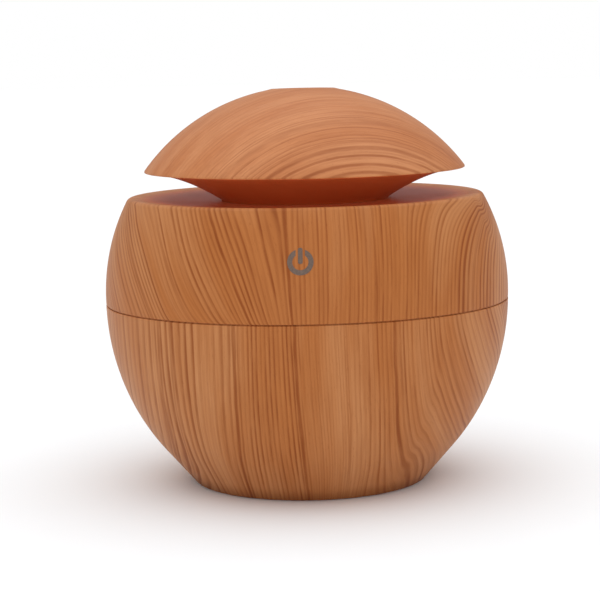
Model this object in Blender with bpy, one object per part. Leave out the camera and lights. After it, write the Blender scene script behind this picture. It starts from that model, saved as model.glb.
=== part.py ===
"""A ball-shaped ultrasonic essential oil diffuser: a wood-print tank bowl, a lift-off upper
unit with its electronics, and a mushroom cap that holds the atomiser. Metres, +Z up, the
origin at the centre of the base, the front with the touch symbol towards -Y."""

import math

import bmesh
import bpy
from mathutils import Matrix, Vector

MM = 0.001
GAP = 0.3 * MM  # clearance between pieces that touch

# Ball body
BODY_RADIUS = 50.0 * MM
WALL = 2.2 * MM
BOWL_HALF_HEIGHT = 54.4 * MM  # the bowl's section is an ellipse a little taller than wide
BOWL_CENTRE_Z = 46.0 * MM
BOWL_BASE_Z = 0.4 * MM
BASE_RADIUS, BASE_CONE_Z = 29.0 * MM, 8.0 * MM  # below this height the side is a cone
BOWL_TOP_Z = 45.0 * MM
BOWL_FLOOR_Z = 3.4 * MM
UPPER_CENTRE_Z = 47.0 * MM
UPPER_BOTTOM_Z = BOWL_TOP_Z + GAP
SEAM_EDGE = 0.35 * MM

# Foot ring in its groove under the bowl
GROOVE_INNER, GROOVE_OUTER, GROOVE_TOP_Z = 20.0 * MM, 25.0 * MM, 2.0 * MM
BASE_RECESS_Z = 0.8 * MM

# Upper shell's top face: a shallow dish from the rim down to the stem
RIM_RADIUS, RIM_Z, RIM_FILLET = 43.9 * MM, 71.1 * MM, 1.4 * MM
STEM_RADIUS, STEM_Z = 20.3 * MM, 69.95 * MM
STEM_SEAT_Z = 69.3 * MM
TOP_UNDERSIDE_Z = 67.2 * MM
STEM_HOLE = 17.0 * MM

# Mushroom cap: a funnel-shaped stem under a spherical dome
DOME_RADIUS, DOME_CENTRE_Z, DOME_WALL = 49.2 * MM, 48.5 * MM, 2.0 * MM
DOME_RIM_RADIUS, DOME_RIM_Z = 39.75 * MM, 77.3 * MM
DOME_TOP_Z, DOME_FLAT_RADIUS, MOUTH_RADIUS = 97.2 * MM, 7.4 * MM, 4.0 * MM
FUNNEL_POWER = 1.75  # how quickly the underside flattens towards the rim
FUNNEL_WALL = 1.9 * MM
NECK_BORE, NECK_BOTTOM_Z = 14.5 * MM, 63.5 * MM
NUT_BODY_RADIUS, NUT_FLANGE_RADIUS, NUT_FLANGE = 19.6 * MM, 21.5 * MM, 1.2 * MM
COLLAR_INNER, COLLAR_OUTER, COLLAR_BOTTOM_Z = 11.3 * MM, 17.8 * MM, 88.5 * MM
COLLAR_TOP_Z = 95.2 * MM

# Atomiser in the cap's collar: a mesh plate under a piezo ring, held in a slotted gasket
HOLDER_TOP_Z, HOLDER_PLATE = 90.9 * MM, 1.6 * MM
GASKET_OUTER, GASKET_LIP, GASKET_SLOT = 10.8 * MM, 5.9 * MM, 8.3 * MM
GASKET_BOTTOM_Z, GASKET_SLOT_BOTTOM_Z = 91.2 * MM, 92.1 * MM
GASKET_SLOT_TOP_Z, GASKET_TOP_Z = 93.9 * MM, 94.9 * MM
DISC_INNER, DISC_OUTER = 4.3 * MM, 8.0 * MM
DISC_BOTTOM_Z, DISC_TOP_Z = 93.0 * MM, 93.6 * MM
MESH_RADIUS, MESH_CROWN_RADIUS, MESH_BOTTOM_Z, MESH_TOP_Z = 6.6 * MM, 2.4 * MM, 92.4 * MM, 92.7 * MM

# Chassis that closes the upper unit and locks it to the bowl
PLATE_BOTTOM_Z, PLATE_TOP_Z, PLATE_RADIUS = 47.0 * MM, 49.0 * MM, 47.2 * MM
SKIRT_INNER, SKIRT_OUTER, SKIRT_BOTTOM_Z = 42.0 * MM, 44.6 * MM, 37.3 * MM
SEAL_GROOVE_RADIUS, SEAL_BOTTOM_Z, SEAL_TOP_Z = 43.6 * MM, 42.3 * MM, 44.7 * MM
SEAL_LIP_RADIUS = 47.3 * MM
SOCKET_BORE, SOCKET_OUTER, SOCKET_BOTTOM_Z = 6.4 * MM, 8.3 * MM, 36.0 * MM
RISER_COLLAR_Z = 52.0 * MM
LUG_ANGLES = (40, 160, 280)
LUG_WIDTH = 11.0 * MM
LUG_OUTER, LUG_TOP_Z = 46.3 * MM, 39.6 * MM
UNLOCKED_ANGLE = 22  # from each lug to the bowl ledge that it turns under
LEDGE_INNER, LEDGE_BOTTOM_Z, LEDGE_TOP_Z = 45.0 * MM, 40.0 * MM, 42.0 * MM

# Wick and its tubes
WICK_RADIUS, WICK_BOTTOM_Z, WICK_TOP_Z = 4.0 * MM, 12.2 * MM, 92.1 * MM
TUBE_RADIUS, TUBE_BORE, TUBE_BOTTOM_Z, TUBE_TOP_Z = 5.7 * MM, 4.5 * MM, 7.0 * MM, 46.6 * MM
TUBE_FLOOR_Z = 8.2 * MM
O_RING_RADIUS, O_RING_SECTION, O_RING_Z = 5.78 * MM, 0.4 * MM, 42.4 * MM
RISER_BORE, RISER_RADIUS, RISER_TOP_Z = 4.6 * MM, 5.8 * MM, 87.7 * MM
SPRING_RADIUS, SPRING_WIRE, SPRING_TURNS = 3.2 * MM, 0.3 * MM, 4
SLOT_WIDTH, SLOT_BOTTOM_Z, SLOT_TOP_Z = 2.0 * MM, 11.0 * MM, 24.0 * MM

# Circuit board
BOARD_BOTTOM_Z, BOARD_TOP_Z = 53.0 * MM, 54.6 * MM
BOARD_HOLE, BOARD_RADIUS = 10.0 * MM, 30.0 * MM
TONGUE_HALF_WIDTH, TONGUE_END = 7.5 * MM, 44.5 * MM
PARTS_Z = BOARD_TOP_Z + GAP  # underside of what is soldered on the board
USB_Z = 56.4 * MM
USB_MOUTH_HALF_WIDTH, USB_MOUTH_HALF_HEIGHT = 5.7 * MM, 3.5 * MM
USB_BACK, USB_FRONT, USB_SHEET = 40.2 * MM, 46.0 * MM, 0.4 * MM
USB_HALF_WIDTH, USB_HALF_HEIGHT, TONGUE_CONTACT_HALF_WIDTH = 3.9 * MM, 1.5 * MM, 2.6 * MM
LED_CIRCLE, LED_HALF_WIDTH, LED_HEIGHT = (17.0 * MM, (90, 210, 330)), 1.75 * MM, 1.5 * MM
INDUCTOR_CORNER, INDUCTOR_SIZE = (-23.0 * MM, 6.0 * MM), (8.0 * MM, 8.0 * MM, 4.0 * MM)
CHIP_CORNER, CHIP_SIZE = (15.0 * MM, 1.0 * MM), (6.0 * MM, 5.0 * MM, 1.5 * MM)
CAPACITOR_SPOT, CAPACITOR_RADIUS, CAPACITOR_HEIGHT = (-8.0 * MM, 21.0 * MM), 2.5 * MM, 6.0 * MM
LEAD_RADIUS, LEAD_CIRCLE, LEAD_ANGLES = 0.5 * MM, 7.5 * MM, (-12, 12)

# Touch sensor behind the symbol, 1.6 degrees off the front and a little up the shell
PAD_RADIUS, PAD_THICKNESS, PAD_REACH = 5.0 * MM, 0.4 * MM, 47.0 * MM
PAD_LEAN, PAD_TURN = math.radians(14.9), math.radians(-91.6)
TOUCH_LEAD_RADIUS = 0.4 * MM

# Screws: places as (circle radius, angles), sizes as (head radius, head height, shank
# radius, shank length), and the holes and pillars that they go into
CHASSIS_SCREWS = (39.0 * MM, (0, 120, 240))
BOARD_SCREWS = (24.0 * MM, (60, 180, 300))
HOLDER_SCREWS = (14.6 * MM, (30, 150, 270))
CHASSIS_SCREW_SIZE = (2.6 * MM, 1.6 * MM, 1.1 * MM, 11.5 * MM)
BOARD_SCREW_SIZE = (2.3 * MM, 1.5 * MM, 1.0 * MM, 4.6 * MM)
HOLDER_SCREW_SIZE = (1.9 * MM, 1.3 * MM, 0.9 * MM, 4.6 * MM)
BOSS_RADIUS, BOSS_BORE, BOSS_BORE_TOP_Z = 3.2 * MM, 1.4 * MM, 60.0 * MM
POST_RADIUS, POST_BORE = 2.6 * MM, 1.3 * MM
PLATE_HOLE, BOARD_SCREW_HOLE, HOLDER_HOLE, COLLAR_HOLE_DEPTH = 1.7 * MM, 1.4 * MM, 1.2 * MM, 3.4 * MM
OVERCUT = 1.0 * MM  # how far a cutter runs past the face that it opens

SIDES, FINE_SIDES, SMALL_SIDES = 36, 20, 8
SMOOTH_ANGLE = math.radians(32)


def clear_scene():
    for obj in list(bpy.data.objects):
        bpy.data.objects.remove(obj, do_unlink=True)


def material(name, colour, roughness, metallic=0.0, alpha=1.0):
    """A Principled material, made once for each name."""
    found = bpy.data.materials.get(name)
    if found:
        return found
    made = bpy.data.materials.new(name)
    made.use_nodes = True
    shader = made.node_tree.nodes["Principled BSDF"]
    shader.inputs["Base Color"].default_value = (*colour, 1.0)
    shader.inputs["Roughness"].default_value = roughness
    shader.inputs["Metallic"].default_value = metallic
    shader.inputs["Alpha"].default_value = alpha
    made.diffuse_color = (*colour, alpha)
    return made


def wood_print():
    return material("wood_print", (0.52, 0.24, 0.10), 0.42)


def brown_plastic():
    return material("brown_plastic", (0.20, 0.055, 0.025), 0.38)


def white_plastic():
    return material("white_plastic", (0.82, 0.81, 0.78), 0.45)


def clear_plastic():
    return material("clear_plastic", (0.86, 0.88, 0.88), 0.25)


def silicone():
    return material("silicone", (0.72, 0.72, 0.70), 0.65)


def black_rubber():
    return material("black_rubber", (0.03, 0.03, 0.03), 0.75)


def steel():
    return material("steel", (0.62, 0.62, 0.63), 0.28, 1.0)


def brass():
    return material("brass", (0.72, 0.52, 0.22), 0.30, 1.0)


def ceramic():
    return material("piezo_ceramic", (0.80, 0.76, 0.66), 0.35)


def board_green():
    return material("board_green", (0.03, 0.20, 0.08), 0.40)


def black_epoxy():
    return material("black_epoxy", (0.025, 0.025, 0.028), 0.35)


def lens_clear():
    return material("led_lens", (0.90, 0.88, 0.70), 0.15)


def cotton():
    return material("cotton", (0.88, 0.87, 0.83), 0.95)


def lead_red():
    return material("lead_red", (0.55, 0.03, 0.02), 0.45)


def lead_black():
    return material("lead_black", (0.02, 0.02, 0.02), 0.45)


def place(name, mesh, finish):
    """Puts a mesh in the scene under its node's name."""
    obj = bpy.data.objects.new(name, mesh)
    bpy.context.scene.collection.objects.link(obj)
    if not mesh.materials:
        mesh.materials.append(finish)
    return obj


def mesh_from(bm, name):
    bmesh.ops.remove_doubles(bm, verts=bm.verts, dist=1e-7)
    bmesh.ops.recalc_face_normals(bm, faces=bm.faces)
    mesh = bpy.data.meshes.new(name)
    bm.to_mesh(mesh)
    bm.free()
    mesh.shade_smooth()
    mesh.set_sharp_from_angle(angle=SMOOTH_ANGLE)
    return mesh


def turned_mesh(name, outline, sides):
    """A closed solid turned about Z. The outline is a loop of (radius, height) points; one
    with two ends on the axis is closed by the axis itself."""
    bm = bmesh.new()
    points = [bm.verts.new((r, 0, z)) for r, z in outline]
    edges = [bm.edges.new(pair) for pair in zip(points, points[1:])]
    if outline[0][0] > 0 or outline[-1][0] > 0:
        edges.append(bm.edges.new((points[-1], points[0])))
    bmesh.ops.spin(bm, geom=points + edges, cent=(0, 0, 0), axis=(0, 0, 1),
                   angle=2 * math.pi, steps=sides, use_merge=True)
    return mesh_from(bm, name)


def turned(name, outline, finish, sides=SIDES):
    return place(name, turned_mesh(name, outline, sides), finish)


def arc(radius, centre_z, start, end, count):
    """(radius, height) points on a circle about (0, centre_z), angles in radians."""
    steps = [start + (end - start) * i / (count - 1) for i in range(count)]
    return [(radius * math.cos(a), centre_z + radius * math.sin(a)) for a in steps]


def on_circle(circle, z=0.0):
    radius, angles = circle
    return [Vector((radius * math.cos(math.radians(a)), radius * math.sin(math.radians(a)), z))
            for a in angles]


def add_cylinder(bm, centre, radius, bottom, top, sides=SMALL_SIDES):
    middle = Matrix.Translation((centre[0], centre[1], (bottom + top) / 2))
    bmesh.ops.create_cone(bm, cap_ends=True, segments=sides, radius1=radius, radius2=radius,
                          depth=top - bottom, matrix=middle)


def add_box(bm, low, high, turn=0.0):
    """A box between two corners, then turned about Z by so many degrees."""
    size = [b - a for a, b in zip(low, high)]
    centre = [(a + b) / 2 for a, b in zip(low, high)]
    matrix = (Matrix.Rotation(math.radians(turn), 4, "Z") @ Matrix.Translation(centre)
              @ Matrix.Diagonal((*size, 1)))
    bmesh.ops.create_cube(bm, size=1, matrix=matrix)


def boolean(target, bm, operation, name):
    """Adds to or cuts from a piece with a hidden helper built in bm."""
    mesh = bpy.data.meshes.new(name)
    bm.to_mesh(mesh)
    bm.free()
    tool = bpy.data.objects.new(name, mesh)
    bpy.context.scene.collection.objects.link(tool)
    tool.hide_render = True
    tool.display_type = "WIRE"
    modifier = target.modifiers.new(name, "BOOLEAN")
    modifier.operation = operation
    modifier.object = tool
    modifier.solver = "EXACT"


def block(name, low, high, finish, bevel=0.0):
    """A rectangular piece, with its edges broken by a bevel where one is given."""
    bm = bmesh.new()
    add_box(bm, low, high)
    obj = place(name, mesh_from(bm, name), finish)
    if bevel:
        edge = obj.modifiers.new("edges", "BEVEL")
        edge.width = bevel
        edge.segments = 1
    return obj


def wire(name, points, radius, finish, resolution=1):
    """A round wire through the points, with closed ends."""
    curve = bpy.data.curves.new(name, "CURVE")
    curve.dimensions = "3D"
    curve.bevel_depth = radius
    curve.bevel_resolution = resolution
    curve.use_fill_caps = True
    curve.materials.append(finish)
    spline = curve.splines.new("POLY")
    spline.points.add(len(points) - 1)
    for point, spot in zip(spline.points, points):
        point.co = (*spot, 1)
    obj = bpy.data.objects.new(name, curve)
    bpy.context.scene.collection.objects.link(obj)
    return obj


def smooth_route(anchors, per_span):
    """Points on a Catmull-Rom curve through the anchors."""
    ends = [anchors[0] * 2 - anchors[1], *anchors, anchors[-1] * 2 - anchors[-2]]
    route = []
    for a, b, c, d in zip(ends, ends[1:], ends[2:], ends[3:]):
        for i in range(per_span):
            t = i / per_span
            route.append(0.5 * (2 * b + (c - a) * t + (2 * a - 5 * b + 4 * c - d) * t ** 2
                                + (3 * b - a - 3 * c + d) * t ** 3))
    return route + [anchors[-1]]


def screw_mesh(name, head_radius, head_height, shank_radius, shank_length):
    """A pan-head screw that points up, its head's seat at z = 0."""
    outline = [(0, -head_height), (0.7 * head_radius, -head_height),
               (head_radius, -0.5 * head_height), (head_radius, 0), (shank_radius, 0),
               (shank_radius, shank_length - shank_radius), (0, shank_length)]
    return turned_mesh(name, outline, SMALL_SIDES)


def screws(name, circle, seat_z, size, points_down=False):
    mesh = screw_mesh(name, *size)
    for number, spot in enumerate(on_circle(circle, seat_z), 1):
        obj = place(f"{name}_{number}", mesh, steel())
        obj.location = spot
        obj.rotation_euler.x = math.pi if points_down else 0


def ellipse_outline(half_width, half_height, low, high, count):
    """The bowl's section from one height to another."""
    first = math.asin((low - BOWL_CENTRE_Z) / half_height)
    last = math.asin((high - BOWL_CENTRE_Z) / half_height)
    steps = [first + (last - first) * i / (count - 1) for i in range(count)]
    return [(half_width * math.cos(a), BOWL_CENTRE_Z + half_height * math.sin(a)) for a in steps]


def tank_bowl():
    outer = [(BASE_RADIUS, BOWL_BASE_Z)] + ellipse_outline(
        BODY_RADIUS, BOWL_HALF_HEIGHT, BASE_CONE_Z, BOWL_TOP_Z - SEAM_EDGE, 10)
    inner = ellipse_outline(BODY_RADIUS - WALL, BOWL_HALF_HEIGHT - WALL, BOWL_TOP_Z,
                            BOWL_FLOOR_Z, 8)
    base = [(0, BOWL_FLOOR_Z), (0, BASE_RECESS_Z), (GROOVE_INNER, BASE_RECESS_Z),
            (GROOVE_INNER, GROOVE_TOP_Z), (GROOVE_OUTER, GROOVE_TOP_Z),
            (GROOVE_OUTER, BOWL_BASE_Z)]
    lip = [(outer[-1][0] - SEAM_EDGE, BOWL_TOP_Z)]
    bowl = turned("tank_bowl", base[1:] + outer + lip + inner + base[:1], wood_print())
    ledges = bmesh.new()
    for angle in LUG_ANGLES:
        add_box(ledges, (LEDGE_INNER, -LUG_WIDTH / 2, LEDGE_BOTTOM_Z),
                (BODY_RADIUS - WALL / 2, LUG_WIDTH / 2, LEDGE_TOP_Z), angle - UNLOCKED_ANGLE)
    boolean(bowl, ledges, "UNION", "bowl_ledges")


def foot_ring():
    low, high = GROOVE_INNER + GAP, GROOVE_OUTER - GAP
    edge = 0.4 * MM
    turned("foot_ring", [(low + edge, 0), (high - edge, 0), (high, edge),
                         (high, GROOVE_TOP_Z - GAP), (low, GROOVE_TOP_Z - GAP), (low, edge)],
           black_rubber())


def seal_ring():
    inner = SEAL_GROOVE_RADIUS + GAP
    low, high = SEAL_BOTTOM_Z + GAP, SEAL_TOP_Z - GAP
    turned("seal_ring", [(inner, low), (SEAL_LIP_RADIUS, low + 0.4 * MM),
                         (SEAL_LIP_RADIUS, low + 1.0 * MM), (inner + 1.6 * MM, high),
                         (inner, high)], silicone())


def dish(radius):
    """The height of the upper shell's top face at a radius."""
    return STEM_Z + (RIM_Z - STEM_Z) * ((radius - STEM_RADIUS) / (RIM_RADIUS - STEM_RADIUS)) ** 2


def rim_fillet(count):
    """The rounded rim between the ball's side and the dished top face."""
    centre_z = RIM_Z - RIM_FILLET
    reach = BODY_RADIUS - RIM_FILLET
    centre_r = math.sqrt(reach ** 2 - (centre_z - UPPER_CENTRE_Z) ** 2)
    start = math.asin((centre_z - UPPER_CENTRE_Z) / reach)
    steps = [start + (math.pi / 2 - start) * i / (count - 1) for i in range(count)]
    return [(centre_r + RIM_FILLET * math.cos(a), centre_z + RIM_FILLET * math.sin(a))
            for a in steps], start


def upper_shell():
    fillet, side_end = rim_fillet(3)
    side_start = math.asin((UPPER_BOTTOM_Z - UPPER_CENTRE_Z) / BODY_RADIUS)
    side = arc(BODY_RADIUS, UPPER_CENTRE_Z, side_start, side_end, 7)[:-1]
    face_edge = STEM_RADIUS + GAP
    face = [(r, dish(r)) for r in (fillet[-1][0] + (face_edge - fillet[-1][0]) * i / 4
                                   for i in range(1, 5))]
    seat = [(face_edge, STEM_SEAT_Z), (STEM_HOLE, STEM_SEAT_Z), (STEM_HOLE, TOP_UNDERSIDE_Z)]
    inside = BODY_RADIUS - WALL
    inner = arc(inside, UPPER_CENTRE_Z, math.asin((TOP_UNDERSIDE_Z - UPPER_CENTRE_Z) / inside),
                math.asin((UPPER_BOTTOM_Z - UPPER_CENTRE_Z) / inside), 7)
    shell = turned("upper_shell", side + fillet + face + seat + inner, wood_print())
    bosses, holes = bmesh.new(), bmesh.new()
    for spot in on_circle(CHASSIS_SCREWS):
        add_cylinder(bosses, spot, BOSS_RADIUS, PLATE_TOP_Z + GAP, TOP_UNDERSIDE_Z + 0.8 * MM)
        add_cylinder(holes, spot, BOSS_BORE, PLATE_TOP_Z - OVERCUT, BOSS_BORE_TOP_Z)
    boolean(shell, bosses, "UNION", "shell_bosses")
    boolean(shell, holes, "DIFFERENCE", "boss_holes")
    mouth = bmesh.new()
    add_box(mouth, (-USB_MOUTH_HALF_WIDTH, 44 * MM, USB_Z - USB_MOUTH_HALF_HEIGHT),
            (USB_MOUTH_HALF_WIDTH, 52 * MM, USB_Z + USB_MOUTH_HALF_HEIGHT))
    boolean(shell, mouth, "DIFFERENCE", "usb_mouth")


def chassis():
    outline = [(WICK_RADIUS + 0.8 * MM, PLATE_TOP_Z), (RISER_RADIUS + GAP, PLATE_TOP_Z),
               (RISER_RADIUS + GAP, RISER_COLLAR_Z), (RISER_RADIUS + 1.8 * MM, RISER_COLLAR_Z),
               (RISER_RADIUS + 1.8 * MM, PLATE_TOP_Z), (PLATE_RADIUS, PLATE_TOP_Z),
               (PLATE_RADIUS, PLATE_BOTTOM_Z), (SKIRT_OUTER, PLATE_BOTTOM_Z),
               (SKIRT_OUTER, SEAL_TOP_Z), (SEAL_GROOVE_RADIUS, SEAL_TOP_Z),
               (SEAL_GROOVE_RADIUS, SEAL_BOTTOM_Z), (SKIRT_OUTER, SEAL_BOTTOM_Z),
               (SKIRT_OUTER, SKIRT_BOTTOM_Z), (SKIRT_INNER, SKIRT_BOTTOM_Z),
               (SKIRT_INNER, PLATE_BOTTOM_Z), (SOCKET_OUTER, PLATE_BOTTOM_Z),
               (SOCKET_OUTER, SOCKET_BOTTOM_Z), (SOCKET_BORE, SOCKET_BOTTOM_Z),
               (SOCKET_BORE, PLATE_BOTTOM_Z), (WICK_RADIUS + 0.8 * MM, PLATE_BOTTOM_Z)]
    plate = turned("chassis", outline, white_plastic())
    added, holes = bmesh.new(), bmesh.new()
    for angle in LUG_ANGLES:
        add_box(added, (SKIRT_INNER + 1 * MM, -LUG_WIDTH / 2, SKIRT_BOTTOM_Z + 0.2 * MM),
                (LUG_OUTER, LUG_WIDTH / 2, LUG_TOP_Z), angle)
    for spot in on_circle(BOARD_SCREWS):
        add_cylinder(added, spot, POST_RADIUS, PLATE_TOP_Z - 0.5 * MM, BOARD_BOTTOM_Z - GAP)
        add_cylinder(holes, spot, POST_BORE, PLATE_TOP_Z + 0.6 * MM, BOARD_TOP_Z)
    for spot in on_circle(CHASSIS_SCREWS):
        add_cylinder(holes, spot, PLATE_HOLE, PLATE_BOTTOM_Z - OVERCUT, PLATE_TOP_Z + OVERCUT)
    boolean(plate, added, "UNION", "chassis_lugs_and_posts")
    boolean(plate, holes, "DIFFERENCE", "chassis_holes")


def funnel(radius):
    """The height of the cap's underside at a radius."""
    share = (DOME_RIM_RADIUS - radius) / (DOME_RIM_RADIUS - STEM_RADIUS)
    return DOME_RIM_Z - (DOME_RIM_Z - STEM_Z) * share ** FUNNEL_POWER


def dome_inside(z):
    return math.sqrt((DOME_RADIUS - DOME_WALL) ** 2 - (z - DOME_CENTRE_Z) ** 2)


def stem_funnel():
    edge = dome_inside(DOME_RIM_Z) - GAP
    spigot_z = DOME_RIM_Z + 1.7 * MM
    spigot = dome_inside(spigot_z) - 2 * GAP
    radii = [STEM_RADIUS + (edge - STEM_RADIUS) * i / 6 for i in range(7)]
    inner = [spigot - 1.4 * MM + (STEM_RADIUS - 1.5 * MM - spigot) * i / 4 for i in range(5)]
    outline = ([(STEM_HOLE - GAP, NECK_BOTTOM_Z), (STEM_HOLE - GAP, STEM_SEAT_Z + GAP),
                (STEM_RADIUS, STEM_SEAT_Z + GAP)] + [(r, funnel(r)) for r in radii]
               + [(dome_inside(DOME_RIM_Z + 0.7 * MM) - GAP, DOME_RIM_Z + 0.6 * MM),
                  (spigot, spigot_z), (spigot - 1.4 * MM, spigot_z)]
               + [(r, funnel(max(r, STEM_RADIUS)) + FUNNEL_WALL) for r in inner]
               + [(NECK_BORE, STEM_SEAT_Z), (NECK_BORE, NECK_BOTTOM_Z)])
    turned("stem_funnel", outline, brown_plastic())


def stem_nut():
    bottom, top = NECK_BOTTOM_Z + 2 * GAP, TOP_UNDERSIDE_Z - GAP
    turned("stem_nut", [(STEM_HOLE, bottom), (NUT_BODY_RADIUS, bottom),
                        (NUT_BODY_RADIUS, top - NUT_FLANGE), (NUT_FLANGE_RADIUS, top - NUT_FLANGE),
                        (NUT_FLANGE_RADIUS, top), (STEM_HOLE, top)], white_plastic())


def dome_cap():
    first = math.asin((DOME_RIM_Z + 0.2 * MM - DOME_CENTRE_Z) / DOME_RADIUS)
    last = math.acos((DOME_FLAT_RADIUS + 0.5 * MM) / DOME_RADIUS)
    outer = arc(DOME_RADIUS, DOME_CENTRE_Z, first, last, 9)
    inside = DOME_RADIUS - DOME_WALL
    inner = arc(inside, DOME_CENTRE_Z, math.acos(COLLAR_OUTER / inside),
                math.asin((DOME_RIM_Z - DOME_CENTRE_Z) / inside), 6)
    top = [(DOME_FLAT_RADIUS, DOME_TOP_Z), (MOUTH_RADIUS + 0.4 * MM, DOME_TOP_Z),
           (MOUTH_RADIUS, DOME_TOP_Z - 0.4 * MM), (MOUTH_RADIUS, COLLAR_TOP_Z),
           (COLLAR_INNER, COLLAR_TOP_Z), (COLLAR_INNER, COLLAR_BOTTOM_Z),
           (COLLAR_OUTER, COLLAR_BOTTOM_Z)]
    dome = turned("dome_cap", [(DOME_RIM_RADIUS - 0.3 * MM, DOME_RIM_Z)] + outer + top + inner,
                  wood_print())
    holes = bmesh.new()
    for spot in on_circle(HOLDER_SCREWS):
        add_cylinder(holes, spot, HOLDER_HOLE, COLLAR_BOTTOM_Z - OVERCUT,
                     COLLAR_BOTTOM_Z + COLLAR_HOLE_DEPTH)
    boolean(dome, holes, "DIFFERENCE", "collar_holes")


def disc_holder():
    bore, recess = RISER_BORE, RISER_RADIUS + GAP
    plate_top = COLLAR_BOTTOM_Z - GAP
    plate_bottom = plate_top - HOLDER_PLATE
    holder = turned("disc_holder", [(bore, HOLDER_TOP_Z), (COLLAR_INNER - 1.3 * GAP, HOLDER_TOP_Z),
                                    (COLLAR_INNER - 1.3 * GAP, plate_top),
                                    (COLLAR_OUTER - GAP, plate_top),
                                    (COLLAR_OUTER - GAP, plate_bottom), (recess, plate_bottom),
                                    (recess, RISER_TOP_Z + GAP), (bore, RISER_TOP_Z + GAP)],
                    white_plastic(), FINE_SIDES)
    holes = bmesh.new()
    for spot in on_circle(HOLDER_SCREWS):
        add_cylinder(holes, spot, HOLDER_HOLE, plate_bottom - OVERCUT, plate_top + 0.2 * MM)
    for spot in on_circle((LEAD_CIRCLE, LEAD_ANGLES)):
        add_cylinder(holes, spot, LEAD_RADIUS + GAP, plate_bottom - OVERCUT, HOLDER_TOP_Z + OVERCUT)
    boolean(holder, holes, "DIFFERENCE", "holder_holes")


def disc_gasket():
    gasket = turned("disc_gasket", [(GASKET_OUTER, GASKET_BOTTOM_Z), (GASKET_OUTER, GASKET_TOP_Z),
                                    (GASKET_LIP, GASKET_TOP_Z), (GASKET_LIP, GASKET_SLOT_TOP_Z),
                                    (GASKET_SLOT, GASKET_SLOT_TOP_Z),
                                    (GASKET_SLOT, GASKET_SLOT_BOTTOM_Z),
                                    (GASKET_LIP, GASKET_SLOT_BOTTOM_Z),
                                    (GASKET_LIP, GASKET_BOTTOM_Z)], silicone(), FINE_SIDES)
    notches = bmesh.new()
    for spot in on_circle((LEAD_CIRCLE, LEAD_ANGLES)):
        add_cylinder(notches, spot, LEAD_RADIUS + GAP, GASKET_BOTTOM_Z - OVERCUT,
                     GASKET_SLOT_BOTTOM_Z + 0.8 * MM)
    boolean(gasket, notches, "DIFFERENCE", "gasket_notches")


def atomiser_disc():
    turned("atomiser_disc", [(DISC_INNER, DISC_BOTTOM_Z), (DISC_OUTER, DISC_BOTTOM_Z),
                             (DISC_OUTER, DISC_TOP_Z), (DISC_INNER, DISC_TOP_Z)],
           ceramic(), FINE_SIDES)


def mesh_plate():
    """A thin plate whose middle is domed up by its own thickness."""
    thickness = MESH_TOP_Z - MESH_BOTTOM_Z
    turned("mesh_plate", [(0, MESH_TOP_Z), (MESH_CROWN_RADIUS - 0.2 * MM, MESH_BOTTOM_Z),
                          (MESH_RADIUS, MESH_BOTTOM_Z), (MESH_RADIUS, MESH_TOP_Z),
                          (MESH_CROWN_RADIUS, MESH_TOP_Z), (0, MESH_TOP_Z + thickness)],
           steel(), FINE_SIDES)


def riser_tube():
    bottom = PLATE_TOP_Z + GAP
    turned("riser_tube", [(RISER_BORE, bottom), (RISER_RADIUS, bottom),
                          (RISER_RADIUS, RISER_TOP_Z), (RISER_BORE, RISER_TOP_Z)],
           clear_plastic(), FINE_SIDES)


def wick_tube():
    groove = 0.6 * MM
    low, high = O_RING_Z - 0.8 * MM, O_RING_Z + 0.8 * MM
    tube = turned("wick_tube", [(0, TUBE_BOTTOM_Z), (TUBE_RADIUS - groove, TUBE_BOTTOM_Z),
                                (TUBE_RADIUS, TUBE_BOTTOM_Z + groove), (TUBE_RADIUS, low),
                                (TUBE_RADIUS - groove, low), (TUBE_RADIUS - groove, high),
                                (TUBE_RADIUS, high), (TUBE_RADIUS, TUBE_TOP_Z),
                                (TUBE_BORE, TUBE_TOP_Z), (TUBE_BORE, TUBE_FLOOR_Z),
                                (0, TUBE_FLOOR_Z)], white_plastic(), FINE_SIDES)
    slots = bmesh.new()
    for angle in (0, 120, 240):
        add_box(slots, (TUBE_BORE / 2, -SLOT_WIDTH / 2, SLOT_BOTTOM_Z),
                (TUBE_RADIUS + OVERCUT, SLOT_WIDTH / 2, SLOT_TOP_Z), angle)
    boolean(tube, slots, "DIFFERENCE", "tube_slots")


def wick_o_ring():
    section = [(O_RING_RADIUS + O_RING_SECTION * math.cos(a), O_RING_Z + O_RING_SECTION * math.sin(a))
               for a in (2 * math.pi * i / 8 for i in range(8))]
    turned("wick_o_ring", section, black_rubber(), FINE_SIDES)


def wick_spring():
    low, high = TUBE_FLOOR_Z + GAP + SPRING_WIRE, WICK_BOTTOM_Z - GAP - SPRING_WIRE
    count = 12 * SPRING_TURNS
    coil = []
    for i in range(count + 1):
        angle = 2 * math.pi * SPRING_TURNS * i / count
        coil.append((SPRING_RADIUS * math.cos(angle), SPRING_RADIUS * math.sin(angle),
                     low + (high - low) * i / count))
    wire("wick_spring", coil, SPRING_WIRE, steel())


def cotton_wick():
    edge = 0.6 * MM
    turned("cotton_wick", [(0, WICK_BOTTOM_Z), (WICK_RADIUS - edge, WICK_BOTTOM_Z),
                           (WICK_RADIUS, WICK_BOTTOM_Z + edge), (WICK_RADIUS, WICK_TOP_Z - edge),
                           (WICK_RADIUS - edge, WICK_TOP_Z), (0, WICK_TOP_Z)],
           cotton(), FINE_SIDES)


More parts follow.
